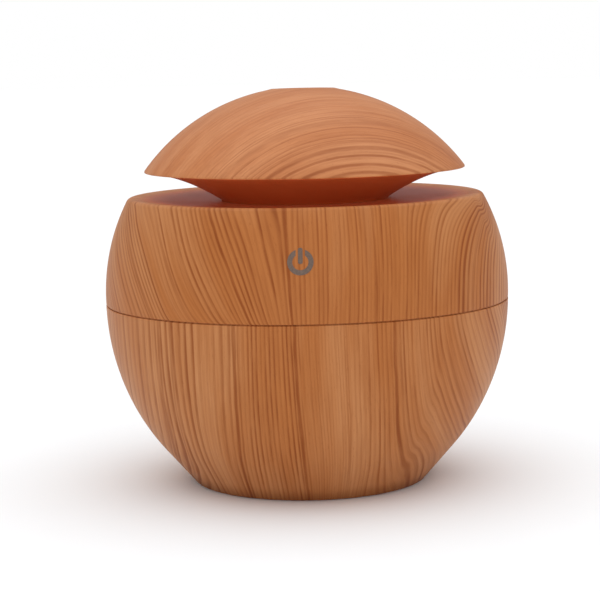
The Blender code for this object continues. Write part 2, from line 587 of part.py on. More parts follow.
def main_board():
    board = turned("main_board", [(BOARD_HOLE, BOARD_BOTTOM_Z), (BOARD_RADIUS, BOARD_BOTTOM_Z),
                                  (BOARD_RADIUS, BOARD_TOP_Z), (BOARD_HOLE, BOARD_TOP_Z)],
                   board_green())
    tongue, holes = bmesh.new(), bmesh.new()
    add_box(tongue, (-TONGUE_HALF_WIDTH, BOARD_RADIUS - 4 * MM, BOARD_BOTTOM_Z),
            (TONGUE_HALF_WIDTH, TONGUE_END, BOARD_TOP_Z))
    for spot in on_circle(BOARD_SCREWS):
        add_cylinder(holes, spot, BOARD_SCREW_HOLE, BOARD_BOTTOM_Z - OVERCUT, BOARD_TOP_Z + OVERCUT)
    boolean(board, tongue, "UNION", "board_tongue")
    boolean(board, holes, "DIFFERENCE", "board_holes")


def usb_socket():
    """The metal socket at the back of the board, open towards +Y, with its contact tongue."""
    inner_width, inner_height = USB_HALF_WIDTH - USB_SHEET, USB_HALF_HEIGHT - USB_SHEET
    inner_back = USB_BACK + 2 * USB_SHEET
    socket = block("usb_socket", (-USB_HALF_WIDTH, USB_BACK, USB_Z - USB_HALF_HEIGHT),
                   (USB_HALF_WIDTH, USB_FRONT, USB_Z + USB_HALF_HEIGHT), steel())
    hollow = bmesh.new()
    add_box(hollow, (-inner_width, inner_back, USB_Z - inner_height),
            (inner_width, USB_FRONT + OVERCUT, USB_Z + inner_height))
    boolean(socket, hollow, "DIFFERENCE", "usb_hollow")
    block("usb_contact_tongue", (-TONGUE_CONTACT_HALF_WIDTH, inner_back + GAP, USB_Z - GAP),
          (TONGUE_CONTACT_HALF_WIDTH, USB_FRONT - 2 * GAP, USB_Z + GAP), black_epoxy())


def touch_sensor():
    """The pad behind the touch symbol, and its lead to the board."""
    outward = Vector((math.cos(PAD_LEAN) * math.cos(PAD_TURN),
                      math.cos(PAD_LEAN) * math.sin(PAD_TURN), math.sin(PAD_LEAN)))
    centre = Vector((0, 0, UPPER_CENTRE_Z))
    bm = bmesh.new()
    add_cylinder(bm, (0, 0), PAD_RADIUS, -PAD_THICKNESS / 2, PAD_THICKNESS / 2, FINE_SIDES)
    pad = place("touch_pad", mesh_from(bm, "touch_pad"), brass())
    pad.location = centre + outward * PAD_REACH
    pad.rotation_euler = outward.to_track_quat("Z", "Y").to_euler()
    start = centre + outward * (PAD_REACH - 1.0 * MM)
    end = Vector((-3 * MM, -27 * MM, PARTS_Z + 0.4 * MM))
    anchors = [start, start - outward * 3 * MM, start.lerp(end, 0.5) + Vector((0, 0, 1 * MM)),
               end + Vector((0, 0, 3 * MM)), end]
    wire("touch_lead", smooth_route(anchors, 4), TOUCH_LEAD_RADIUS, lead_red())


def on_board(name, corner, size, finish, bevel):
    """A block soldered on the board, from its lowest corner (x, y) and its size."""
    low = (*corner, PARTS_Z)
    block(name, low, [a + b for a, b in zip(low, size)], finish, bevel)


def board_components():
    width = 2 * LED_HALF_WIDTH
    for number, spot in enumerate(on_circle(LED_CIRCLE), 1):
        on_board(f"led_{number}", (spot.x - LED_HALF_WIDTH, spot.y - LED_HALF_WIDTH),
                 (width, width, LED_HEIGHT), lens_clear(), 0.25 * MM)
    on_board("inductor", INDUCTOR_CORNER, INDUCTOR_SIZE, black_epoxy(), 0.8 * MM)
    on_board("control_chip", CHIP_CORNER, CHIP_SIZE, black_epoxy(), 0.2 * MM)
    bm = bmesh.new()
    add_cylinder(bm, (0, 0), CAPACITOR_RADIUS, 0, CAPACITOR_HEIGHT, FINE_SIDES)
    capacitor = place("capacitor", mesh_from(bm, "capacitor"), steel())
    capacitor.location = (*CAPACITOR_SPOT, PARTS_Z)


def disc_leads():
    """Two leads from the board up through the stem and the holder to the atomiser disc."""
    for number, angle in enumerate(LEAD_ANGLES, 1):
        out = Vector((math.cos(math.radians(angle)), math.sin(math.radians(angle)), 0))
        anchors = [out * 13 * MM + Vector((0, 0, PARTS_Z + 0.2 * MM)),
                   out * 12.4 * MM + Vector((0, 0, 58 * MM)),
                   out * LEAD_CIRCLE * 1.12 + Vector((0, 0, 65 * MM)),
                   out * LEAD_CIRCLE + Vector((0, 0, 74 * MM)),
                   out * LEAD_CIRCLE + Vector((0, 0, 84 * MM)),
                   out * LEAD_CIRCLE + Vector((0, 0, DISC_BOTTOM_Z - GAP))]
        wire(f"disc_lead_{number}", smooth_route(anchors, 4), LEAD_RADIUS,
             lead_red() if number == 1 else lead_black())


def fasteners():
    screws("chassis_screw", CHASSIS_SCREWS, PLATE_BOTTOM_Z - GAP, CHASSIS_SCREW_SIZE)
    screws("board_screw", BOARD_SCREWS, BOARD_TOP_Z + GAP, BOARD_SCREW_SIZE, points_down=True)
    screws("holder_screw", HOLDER_SCREWS, COLLAR_BOTTOM_Z - 2 * GAP - HOLDER_PLATE,
           HOLDER_SCREW_SIZE)


def main():
    clear_scene()
    tank_bowl()
    foot_ring()
    seal_ring()
    upper_shell()
    chassis()
    stem_funnel()
    stem_nut()
    dome_cap()
    disc_holder()
    disc_gasket()
    atomiser_disc()
    mesh_plate()
    riser_tube()
    wick_tube()
    wick_o_ring()
    wick_spring()
    cotton_wick()
    main_board()
    usb_socket()
    touch_sensor()
    board_components()
    disc_leads()
    fasteners()


main()
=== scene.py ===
"""The looks of a ball-shaped essential oil diffuser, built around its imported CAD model.

Sizes are in millimetres, and a mesh is scaled to metres when it is made. The outer sizes come
from the CAD frame, and the inner ones repeat the CAD's. The front, with the symbol, faces -Y.
"""

import math

import bmesh
import bpy
from mathutils import Matrix, Vector


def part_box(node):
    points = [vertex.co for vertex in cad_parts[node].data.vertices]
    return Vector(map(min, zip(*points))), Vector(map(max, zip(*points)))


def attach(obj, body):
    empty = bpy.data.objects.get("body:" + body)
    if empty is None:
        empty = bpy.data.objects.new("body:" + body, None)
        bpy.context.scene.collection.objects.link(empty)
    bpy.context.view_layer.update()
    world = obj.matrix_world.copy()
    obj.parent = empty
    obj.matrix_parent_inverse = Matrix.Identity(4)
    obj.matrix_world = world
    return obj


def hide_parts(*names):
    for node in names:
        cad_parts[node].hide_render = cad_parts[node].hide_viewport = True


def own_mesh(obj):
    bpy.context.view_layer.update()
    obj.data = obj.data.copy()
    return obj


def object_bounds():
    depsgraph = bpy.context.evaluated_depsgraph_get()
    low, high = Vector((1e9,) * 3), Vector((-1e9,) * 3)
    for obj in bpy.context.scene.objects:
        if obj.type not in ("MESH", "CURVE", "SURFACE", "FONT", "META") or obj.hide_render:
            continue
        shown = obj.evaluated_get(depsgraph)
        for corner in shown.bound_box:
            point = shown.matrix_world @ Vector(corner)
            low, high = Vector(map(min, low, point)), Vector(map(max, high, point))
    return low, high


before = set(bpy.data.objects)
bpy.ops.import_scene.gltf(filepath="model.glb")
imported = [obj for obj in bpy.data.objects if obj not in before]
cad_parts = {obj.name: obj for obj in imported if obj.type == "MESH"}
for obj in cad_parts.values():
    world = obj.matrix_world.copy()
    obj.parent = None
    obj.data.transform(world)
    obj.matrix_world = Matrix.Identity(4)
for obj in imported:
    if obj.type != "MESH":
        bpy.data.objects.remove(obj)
CAD_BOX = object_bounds()
MM = 0.001
SEGMENTS = 192  # round the large turned pieces
FINE_SEGMENTS = 96  # round the small ones


def span(node):
    """A turned node's radius, and the heights of its bottom and top."""
    low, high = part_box(node)
    return (high.x - low.x) / 2 / MM, low.z / MM, high.z / MM


BALL_RADIUS = (CAD_BOX[1].x - CAD_BOX[0].x) / 2 / MM
BOWL_BOTTOM, BOWL_TOP = span("tank_bowl")[1:]
BOWL_BOTTOM -= 0.25  # as low as in the photo: the soft foot ring gives a little
UPPER_BOTTOM, RIM_TOP = span("upper_shell")[1:]
DOME_RIM_RADIUS, DOME_BOTTOM, DOME_TOP = span("dome_cap")

WALL = 2.2
BOWL_CENTRE = BOWL_TOP + 1.0
BOWL_HALF_HEIGHT = 54.4  # the bowl's section is an ellipse a little taller than wide
BOWL_FLOOR = 3.4
BASE_RADIUS, CONE_TOP = 29.0, 8.0  # below this height the bowl's side is a cone
UPPER_CENTRE = UPPER_BOTTOM + 1.7
RIM_FILLET = 1.4
RIM_CENTRE_Z = RIM_TOP - RIM_FILLET
RIM_TOP_RADIUS = math.sqrt((BALL_RADIUS - RIM_FILLET) ** 2 - (RIM_CENTRE_Z - UPPER_CENTRE) ** 2)
STEM_RADIUS, STEM_BOTTOM = 20.3, 69.95
STEM_SEAT, SHELL_HOLE, TOP_UNDERSIDE = 69.3, 17.0, 67.2
DOME_RADIUS, DOME_WALL = 49.2, 2.0
DOME_CENTRE = DOME_TOP - 48.7
DOME_FLAT, MOUTH_RADIUS = 7.4, 4.0
USB_HEIGHT = 56.4
LUG_ANGLES = (40, 160, 280)
LUG_HALF_WIDTH = 5.5
LEDGE_OFFSET = 22  # degrees from a lug to the ledge it turns under
CHASSIS_SCREW_CIRCLE, CHASSIS_SCREW_ANGLES = 39.0, (0, 120, 240)
SYMBOL_HEIGHT, SYMBOL_ANGLE = 59.3, -1.6


# -------- materials

class Field:
    """A number that varies over a surface, on which ordinary arithmetic works."""

    def __init__(self, finish, socket):
        self.finish = finish
        self.socket = socket

    def __add__(self, other):
        return self.finish.math("ADD", self, other)

    def __sub__(self, other):
        return self.finish.math("SUBTRACT", self, other)

    def __rsub__(self, other):
        return self.finish.math("SUBTRACT", other, self)

    def __mul__(self, other):
        return self.finish.math("MULTIPLY", self, other)

    def __truediv__(self, other):
        return self.finish.math("DIVIDE", self, other)

    def __pow__(self, other):
        return self.finish.math("POWER", self, other)

    def __neg__(self):
        return self * -1.0

    def __abs__(self):
        return self.finish.math("ABSOLUTE", self)

    __radd__ = __add__
    __rmul__ = __mul__


class Finish:
    """A material, with short calls that add its nodes."""

    def __init__(self, name, metallic=0.0, specular=0.5):
        self.material = bpy.data.materials.new(name)
        self.material.use_nodes = True
        self.tree = self.material.node_tree
        self.shader = self.tree.nodes["Principled BSDF"]
        self.set("Metallic", metallic)
        self.set("Specular IOR Level", specular)

    def node(self, kind, **settings):
        made = self.tree.nodes.new(kind)
        for key, value in settings.items():
            setattr(made, key, value)
        return made

    def join(self, value, socket):
        if isinstance(value, Field):
            self.tree.links.new(value.socket, socket)
        else:
            socket.default_value = value

    def set(self, name, value):
        self.join(value, self.shader.inputs[name])

    def math(self, operation, *values):
        node = self.node("ShaderNodeMath", operation=operation)
        for value, socket in zip(values, node.inputs):
            self.join(value, socket)
        return Field(self, node.outputs[0])

    def smooth(self, value, low, high):
        """0 below low, 1 above high and a smooth step between."""
        node = self.node("ShaderNodeMapRange", interpolation_type="SMOOTHSTEP")
        for number, socket in zip((value, low, high), node.inputs):
            self.join(number, socket)
        return Field(self, node.outputs[0])

    def place(self):
        """x, y and z on the piece at rest, in millimetres."""
        coordinates = self.node("ShaderNodeTexCoord")
        parts = self.node("ShaderNodeSeparateXYZ")
        self.tree.links.new(coordinates.outputs["Object"], parts.inputs[0])
        return [Field(self, socket) * (1 / MM) for socket in parts.outputs]

    def reach(self, x, y):
        """The distance from the axis."""
        return self.math("SQRT", x * x + y * y)

    def vector(self, *parts):
        node = self.node("ShaderNodeCombineXYZ")
        for part, socket in zip(parts, node.inputs):
            self.join(part, socket)
        return Field(self, node.outputs[0])

    def pattern(self, kind, place, pitch, values, **settings):
        """A texture node over a place. The pitch is cycles per millimetre, for all axes or each."""
        pitches = pitch if isinstance(pitch, tuple) else (pitch,) * len(place)
        node = self.node(kind, **settings)
        self.join(self.vector(*(part * step for part, step in zip(place, pitches))),
                  node.inputs["Vector"])
        for name, value in {"Scale": 1.0, **values}.items():
            node.inputs[name].default_value = value
        return node

    def noise(self, place, pitch, detail=2.0, roughness=0.5):
        """Soft noise, mostly from 0.3 to 0.7."""
        values = {"Detail": detail, "Roughness": roughness}
        node = self.pattern("ShaderNodeTexNoise", place, pitch, values, noise_dimensions="3D")
        return Field(self, node.outputs[0])

    def cells(self, place, pitch, jitter):
        """The distance to the nearest of a field of points, in cells."""
        node = self.pattern("ShaderNodeTexVoronoi", place, pitch, {"Randomness": jitter},
                            voronoi_dimensions="2D", feature="F1")
        return Field(self, node.outputs["Distance"])

    def dice(self, value, seed):
        """A random number from 0 to 1 for each whole value."""
        node = self.node("ShaderNodeTexWhiteNoise", noise_dimensions="2D")
        self.join(self.vector(value, seed), node.inputs["Vector"])
        return Field(self, node.outputs["Value"])

    def curve(self, value, knots, smooth=False):
        """The value's place on a line or a smooth curve through (input, output) pairs."""
        first, last = knots[0][0], knots[-1][0]
        low = min(output for _, output in knots)
        reach = max(output for _, output in knots) - low
        node = self.node("ShaderNodeFloatCurve")
        points = node.mapping.curves[0].points
        for _ in knots[2:]:
            points.new(0.5, 0.5)
        for point, (place, output) in zip(points, knots):
            point.location = ((place - first) / (last - first), (output - low) / reach)
            point.handle_type = "AUTO_CLAMPED" if smooth else "VECTOR"
        node.mapping.update()
        self.join((value - first) / (last - first), node.inputs["Value"])
        return Field(self, node.outputs["Value"]) * reach + low

    def mix(self, share, first, second, blend="MIX"):
        """A colour between two others. Each is a colour's field or three numbers."""
        node = self.node("ShaderNodeMix", data_type="RGBA", blend_type=blend)
        self.join(share, node.inputs[0])
        for colour, socket in zip((first, second), node.inputs[6:8]):
            self.join(colour if isinstance(colour, Field) else (*colour, 1.0), socket)
        return Field(self, node.outputs[2])

    def bump(self, height, depth):
        """Raises the surface by depth millimetres where the height is 1."""
        node = self.node("ShaderNodeBump")
        node.inputs["Strength"].default_value = 1.0
        node.inputs["Distance"].default_value = depth * MM
        self.join(height, node.inputs["Height"])
        self.tree.links.new(node.outputs[0], self.shader.inputs["Normal"])


def srgb(red, green, blue):
    """A linear colour from display values of 0 to 255."""
    return tuple(((value / 255 + 0.055) / 1.055) ** 2.4 for value in (red, green, blue))


def ring_count(zones, end):
    """(place, rings so far) pairs from (start, ring spacing) zones, with a whole total."""
    stops = [start for start, _ in zones[1:]] + [end]
    places, total = [(zones[0][0], 0.0)], 0.0
    for (start, spacing), stop in zip(zones, stops):
        total += (stop - start) / spacing
        places.append((stop, total))
    whole = round(total)
    return [(place, count * whole / total) for place, count in places], whole


TAN, RED_BROWN = srgb(201, 141, 93), srgb(181, 111, 58)
PRINT_SPECULAR, DOME_SPECULAR = 0.14, 0.2


def wood(f, place, rings, whole, strength, redness, marks=(), dull=0.46):
    """Printed wood grain. The place is (across, across, along) in millimetres, rings counts
    the growth rings, whole is their number before they repeat, strength says how dark their
    lines are, and marks are single lines."""

    def drawn_out(across, along, detail=2, roughness=0.5):
        """Noise that is stretched along the grain."""
        return f.noise(place, (across, across, along), detail, roughness)

    # The rings waver, and each darkens towards its end by an amount of its own.
    slow, quick = drawn_out(0.07, 0.018, 1) - 0.5, drawn_out(0.35, 0.05) - 0.5
    rings = rings + slow + quick * 0.35
    index = f.math("FLOOR", rings)
    share = rings - index
    index = f.math("WRAP", index, float(whole), 0.0)
    late = f.smooth(share, 0.22, 0.78) ** 1.6 * (1 - f.smooth(share, 0.84, 1.0))
    weight = f.dice(index, 3.7) ** 1.4 * 0.75 + 0.22
    broken = f.smooth(drawn_out(0.9, 0.11), 0.30, 0.62)
    lines = f.math("MINIMUM", late * weight * strength * (broken * 0.5 + 0.5) * 1.35, 1.0)
    for mark in marks:
        lines = f.math("MAXIMUM", lines, mark * (broken * 0.35 + 0.65))
    fibre, streaks = drawn_out(3.6, 0.16, 2, 0.6), drawn_out(1.3, 0.05, 2, 0.6)
    pores = f.smooth(drawn_out(6.0, 0.7, 1), 0.66, 0.74)
    red = f.math("MINIMUM", f.smooth(drawn_out(0.13, 0.02), 0.30, 0.70) * 0.55 + redness, 1.0)
    colour = f.mix(red, TAN, RED_BROWN)
    for amount, shade in ((f.smooth(fibre, 0.25, 0.75) * 0.5, (0.86, 0.82, 0.78)),
                          (f.smooth(streaks, 0.40, 0.66) * 0.6, (0.86, 0.79, 0.72)),
                          (pores * 0.35, (0.66, 0.55, 0.45)),
                          (lines, (0.62, 0.46, 0.33))):
        colour = f.mix(amount, colour, shade, "MULTIPLY")
    f.set("Roughness", (fibre - 0.5) * 0.16 + lines * 0.06 + dull)
    f.bump(fibre * 0.5 - lines - pores * 0.4, 0.02)
    return colour


def single_lines(f, value, lines):
    """Soft lines where the value passes a centre, from (centre, half width, depth) triples."""
    return [(1 - f.smooth(abs(value - centre), width * 0.25, width)) * depth
            for centre, width, depth in lines]


def around(f, x, y):
    """Degrees round the ball: 0 at the front, growing towards +X."""
    return f.math("ARCTAN2", x, -y) * math.degrees(1)


def on_ball(f, angle, along):
    """A place on a cylinder at that angle, so that noise meets itself at the back."""
    turn = angle * math.radians(1)
    return (f.math("SINE", turn) * BALL_RADIUS, f.math("COSINE", turn) * BALL_RADIUS, along)


def bowl_wood():
    f = Finish("bowl_wood", specular=PRINT_SPECULAR)
    x, y, z = f.place()
    angle = around(f, x, y)
    down = f.math("MAXIMUM", (BOWL_TOP - z) / (BOWL_TOP - BOWL_BOTTOM), 0.0)
    # The grain hangs down from the seam and leans away from the front by the drift, in degrees.
    drift = f.curve(angle, (
        (-180, 0), (-140, -36), (-110, -45), (-80, -40), (-68, -33), (-55, -21.8), (-47, -15.5),
        (-40, -12.8), (-33, -11.5), (-26, -9.4), (-14, -3.4), (-1, 2.8), (20, 8.5), (35, 18),
        (42, 24), (50, 30.8), (60, 39.2), (73, 50.5), (85, 60), (110, 73), (140, 58), (180, 0)),
        smooth=True)
    onset = f.curve(angle, (
        (-180, 1.5), (-80, 1.6), (-55, 1.9), (0, 1.7), (27, 1.65), (42, 1.3), (60, 1.1), (80, 1.0),
        (120, 1.0), (180, 1.5)), smooth=True)
    reach = down ** onset * (1 - f.smooth(down, 0.75, 1.1) * 0.12)
    grain = f.math("WRAP", angle - drift * reach, 180.0, -180.0)
    knots, whole = ring_count(((-180, 2.6), (-45, 2.2), (-20, 1.15), (-3.5, 0.85), (10, 1.3),
                               (23, 1.2), (35, 1.6), (48, 2.2), (90, 2.6)), 180)
    rings = f.curve(grain, knots)
    strength = f.curve(grain, (
        (-180, 0.85), (-60, 0.85), (-40, 0.95), (-20, 0.95), (-4, 0.9), (-2, 0.4), (9, 0.4),
        (12, 0.8), (22, 0.9), (60, 0.9), (180, 0.85)))
    # Painted light: the print turns less red, and so lighter, towards the base, standing for light
    # bounced up from the floor.
    redness = f.curve(grain, (
        (-180, 0.25), (-50, 0.2), (-22, 0.4), (-6, 0.6), (0, 0.5), (12, 0.5), (24, 0.6),
        (45, 0.4), (180, 0.3))) - down * 0.3
    waver = grain + (f.noise((x, y, z), (0.1, 0.1, 0.06)) - 0.5) * 1.2
    marks = single_lines(f, waver, (
        (-44, 0.8, 0.8), (-39.5, 0.5, 0.5), (-19.6, 0.7, 1.0), (-18.4, 0.4, 0.7), (-3.5, 0.7, 1.0),
        (10, 0.4, 0.5), (23, 0.7, 1.0), (24.6, 0.4, 0.5)))
    printed = wood(f, on_ball(f, grain, z), rings, whole, strength, redness, marks)
    # Painted shade: the print darkens over the lowest four millimetres, standing for the contact
    # shadow where the base meets the floor.
    low = 1 - f.smooth(z, BOWL_BOTTOM - 0.4, BOWL_BOTTOM + 4.0)
    f.set("Base Color", f.mix(low * 0.8, printed, (0.62, 0.5, 0.36), "MULTIPLY"))
    return f.material


def upper_wood():
    f = Finish("upper_wood", specular=PRINT_SPECULAR)
    x, y, z = f.place()
    angle = around(f, x, y)
    up = f.math("MAXIMUM", (z - UPPER_BOTTOM) / (RIM_TOP - UPPER_BOTTOM), 0.0)
    # The grain stands on the seam and opens outwards by the spread, in degrees.
    spread = f.curve(angle, (
        (-180, 0), (-130, -25), (-80, -31.5), (-63, -27), (-50, -22), (-40, -19.2), (-29, -15.3),
        (-12, -6.3), (0, 0), (22, 2.5), (39, 9), (55, 19), (65, 26), (80, 36), (130, 30),
        (180, 0)), smooth=True)
    onset = f.curve(angle, (
        (-180, 1.6), (-80, 1.3), (-50, 1.1), (-25, 0.75), (-8, 0.75), (20, 1.3), (60, 2.3),
        (100, 2.1), (180, 1.6)), smooth=True)
    grain = f.math("WRAP", angle - spread * up ** onset, 180.0, -180.0)
    knots, whole = ring_count(((-180, 2.6), (-80, 2.4), (-50, 1.6), (-20, 1.1), (5, 1.15),
                               (35, 1.35), (44, 1.9), (60, 2.5)), 180)
    rings = f.curve(grain, knots)
    strength = f.curve(grain, (
        (-180, 0.85), (-60, 0.85), (-35, 0.8), (-10, 0.85), (5, 0.8), (30, 0.85), (44, 1.0),
        (60, 1.0), (180, 0.85)))
    # Painted shade: the print turns redder, and so darker, towards the seam, standing for less light
    # reaching the lower shell.
    redness = f.curve(grain, (
        (-180, 0.2), (-60, 0.15), (-25, 0.6), (-3, 0.8), (8, 0.75), (30, 0.6), (50, 0.5),
        (70, 0.2), (180, 0.2))) + 0.25 - up * 0.4
    waver = grain + (f.noise((x, y, z), (0.1, 0.1, 0.06)) - 0.5) * 1.2
    marks = single_lines(f, waver, (
        (-46, 0.9, 0.6), (-31, 0.6, 0.5), (-14.5, 0.5, 1.0), (-4, 0.5, 1.0), (18, 0.5, 0.6),
        (46.4, 0.7, 1.0), (48.4, 0.7, 0.9), (51, 0.5, 0.5)))
    radius = f.reach(x, y)
    dull = f.smooth(radius, 35.0, 41.0) * 0.07 + 0.39
    printed = wood(f, on_ball(f, grain, z), rings, whole, strength, redness, marks, dull)
    # Painted light: the dish turns lighter towards the stem, standing for light and reflection that
    # reach in under the cap.
    hollow = f.mix(f.smooth(radius, 18.0, 38.0), srgb(255, 168, 116), srgb(203, 116, 74))
    f.set("Base Color", f.mix(f.smooth(radius, 37.5, 42.0), hollow, printed))
    return f.material


def dome_wood():
    """Grain that runs across the cap and bends at its right: close in front, wider behind."""
    f = Finish("dome_wood", specular=DOME_SPECULAR)
    x, y, z = f.place()
    right = f.math("MAXIMUM", x, 0.0)
    across = y - x * (0.30 + (y + 40) * 0.0035) - right * right * 0.0018
    knots, whole = ring_count(((-60, 1.2), (-36, 0.8), (-22, 1.4), (-5, 2.2)), 80)
    rings = f.curve(across, knots)
    strength = f.curve(across, ((-60, 0.38), (-36, 0.34), (-22, 0.26), (-14, 0.16), (80, 0.16)))
    redness = f.curve(across, ((-60, 0.1), (-36, 0.1), (-26, 0.15), (80, 0.1)))
    waver = across + (f.noise((x, y, z), 0.08) - 0.5) * 0.7
    marks = single_lines(f, waver, (
        (-43.0, 0.40, 0.8), (-41.2, 0.45, 0.8), (-39.7, 0.45, 0.9), (-37.9, 0.40, 0.9),
        (-36.2, 0.70, 0.8), (-34.8, 0.30, 0.5), (-33.9, 0.25, 0.5), (-33.0, 0.25, 0.5),
        (-30.7, 0.22, 0.6), (-28.6, 1.30, 0.38), (-27.2, 0.20, 0.5), (-26.5, 0.20, 0.5),
        (-24.8, 0.30, 0.3), (-8.5, 0.50, 0.25)))
    place = (across, z * 0.2, x + y * 0.3)
    printed = wood(f, place, rings, whole, strength, redness, marks)
    f.set("Base Color", f.mix(1.0, printed, (1.05, 0.97, 0.99), "MULTIPLY"))
    return f.material


def plastic(name, colour, shade, roughness, specular=0.4):
    """Moulded plastic: a fine spark-eroded texture and slightly uneven colour and gloss."""
    f = Finish(name, specular=specular)
    place = f.place()
    cloudy, fine = f.noise(place, 0.09, 3), f.noise(place, 5)
    f.set("Base Color", f.mix(f.smooth(cloudy, 0.3, 0.7), colour, shade))
    f.set("Roughness", roughness + (cloudy - 0.5) * 0.15 + (fine - 0.5) * 0.1)
    f.bump(fine, 0.012)
    return f.material


def rubber():
    f = Finish("foot_rubber", specular=0.3)
    place = f.place()
    speckle = f.noise(place, 4, 3)
    dusty = f.smooth(f.noise(place, 0.3, 3), 0.45, 0.8)
    f.set("Base Color", f.mix(dusty * 0.5, srgb(28, 27, 26), srgb(66, 63, 60)))
    f.set("Roughness", 0.62 + (speckle - 0.5) * 0.3)
    f.bump(speckle, 0.03)
    return f.material


def silicone():
    f = Finish("seal_silicone", specular=0.4)
    place = f.place()
    cloudy, fine = f.noise(place, 0.15, 3), f.noise(place, 3)
    f.set("Base Color", f.mix(f.smooth(cloudy, 0.3, 0.7), srgb(226, 224, 218), srgb(208, 206, 200)))
    f.set("Roughness", 0.5 + (fine - 0.5) * 0.2)
    f.set("Subsurface Weight", 0.25)
    f.set("Subsurface Scale", 0.6 * MM)
    f.bump(fine, 0.01)
    return f.material


def metal(name, colour, worn, roughness=0.28):
    """Bright metal with fine turning marks and slightly dull patches."""
    f = Finish(name, metallic=1.0)
    x, y, z = f.place()
    marks = f.noise((f.reach(x, y), z, 0.0), 14)
    patches = f.smooth(f.noise((x, y, z), 0.8, 3), 0.35, 0.75)
    f.set("Base Color", f.mix(patches, colour, worn))
    f.set("Roughness", roughness + (marks - 0.5) * 0.2 + patches * 0.1)
    f.bump(marks, 0.006)
    return f.material


def mesh_metal():
    """The atomiser's plate: rolled metal with a field of fine holes in its middle."""
    f = Finish("mesh_metal", metallic=1.0)
    x, y, z = f.place()
    holes = 1 - f.smooth(f.cells((x, y), 4.5, 0.15), 0.16, 0.26)
    holes = holes * (1 - f.smooth(f.reach(x, y), 2.0, 2.4))
    stain = f.noise((x, y, z), 1, 3)
    colour = f.mix(f.smooth(stain, 0.3, 0.7), srgb(206, 206, 204), srgb(182, 180, 176))
    f.set("Base Color", f.mix(holes, colour, srgb(52, 50, 48)))
    f.set("Roughness", 0.26 + stain * 0.18 + holes * 0.3)
    f.bump(-holes, 0.03)
    return f.material


def ceramic():
    """The piezo ring: cream ceramic with a silvered electrode."""
    f = Finish("piezo_ceramic")
    x, y, z = f.place()
    radius = f.reach(x, y)
    silver = f.smooth(radius, 4.8, 4.9) * (1 - f.smooth(radius, 7.4, 7.5))
    grain = f.noise((x, y, z), 3, 3)
    cream = f.mix(grain, srgb(228, 220, 198), srgb(208, 198, 172))
    f.set("Base Color", f.mix(silver, cream, srgb(196, 196, 198)))
    f.set("Metallic", silver * 0.9)
    f.set("Roughness", 0.34 + grain * 0.15)
    f.bump(silver + grain * 0.2, 0.02)
    return f.material


def cotton():
    """Pressed cotton: matted fibres that run mostly along the stick."""
    f = Finish("wick_cotton", specular=0.15)
    place = f.place()
    strands, knots = f.noise(place, (3.2, 3.2, 0.7), 4, 0.65), f.noise(place, 1.2, 3)
    f.set("Base Color", f.mix(f.smooth(strands, 0.3, 0.7), srgb(216, 211, 199), srgb(246, 244, 238)))
    f.set("Roughness", 0.85 + knots * 0.15)
    f.set("Sheen Weight", 0.4)
    f.set("Sheen Roughness", 0.5)
    f.bump(strands + knots * 0.6, 0.16)
    return f.material


def circuit_board():
    """Green solder mask over copper tracks, with tinned pads."""
    f = Finish("circuit_board")
    x, y, z = f.place()
    values = {"Mortar Size": 0.02, "Brick Width": 0.62, "Row Height": 0.21, "Mortar Smooth": 0.2}
    tracks = f.pattern("ShaderNodeTexBrick", (x, y), 0.16, values, offset=0.35, squash=0.6)
    copper = Field(f, tracks.outputs["Fac"])
    pads = 1 - f.smooth(f.cells((x, y), 0.28, 0.8), 0.10, 0.13)
    weave = f.noise((x, y, z), 2)
    mask = f.mix(copper, srgb(16, 92, 46), srgb(34, 128, 66))
    mask = f.mix(weave * 0.4, mask, (0.8, 0.8, 0.8), "MULTIPLY")
    f.set("Base Color", f.mix(pads, mask, srgb(206, 202, 194)))
    f.set("Metallic", pads * 0.9)
    f.set("Roughness", 0.36 + weave * 0.1)
    f.bump(copper * 0.5 + pads, 0.03)
    return f.material


def clear(name, colour, shade):
    """Clear moulded plastic, slightly frosted."""
    f = Finish(name)
    haze = f.noise(f.place(), (0.7, 0.7, 0.25), 3)
    f.set("Base Color", f.mix(haze, colour, shade))
    f.set("Roughness", 0.14 + haze * 0.2)
    f.set("Transmission Weight", 0.75)
    f.set("IOR", 1.47)
    f.bump(haze, 0.02)
    return f.material


def insulation(name, colour, shade):
    """The soft coating of a wire."""
    f = Finish(name, specular=0.45)
    marks = f.noise(f.place(), (1.5, 1.5, 0.6), 3)
    f.set("Base Color", f.mix(f.smooth(marks, 0.3, 0.7), colour, shade))
    f.set("Roughness", 0.34 + marks * 0.2)
    f.bump(marks, 0.02)
    return f.material


def symbol_print():
    """Grey-brown ink, a little uneven, as a pad leaves it."""
    f = Finish("symbol_print", specular=0.35)
    thin = f.noise(f.place(), 2.2, 3, 0.65)
    f.set("Base Color", f.mix(f.smooth(thin, 0.35, 0.7), srgb(98, 80, 70), srgb(112, 92, 80)))
    f.set("Roughness", 0.42 + (thin - 0.5) * 0.2)
    f.bump(thin, 0.01)
    return f.material


BOWL_WOOD, UPPER_WOOD, DOME_WOOD = bowl_wood(), upper_wood(), dome_wood()
BROWN = plastic("brown_plastic_finish", srgb(222, 116, 62), srgb(214, 108, 56), 0.36, DOME_SPECULAR)
WHITE = plastic("white_plastic_finish", srgb(232, 230, 224), srgb(222, 219, 212), 0.42)
BLACK = plastic("black_epoxy_finish", srgb(34, 34, 36), srgb(46, 46, 48), 0.34)
RUBBER, SILICONE, COTTON = rubber(), silicone(), cotton()
STEEL = metal("steel_finish", srgb(206, 206, 206), srgb(178, 177, 175))
BRASS = metal("brass_finish", srgb(214, 184, 118), srgb(186, 152, 88), 0.3)


# -------- meshes

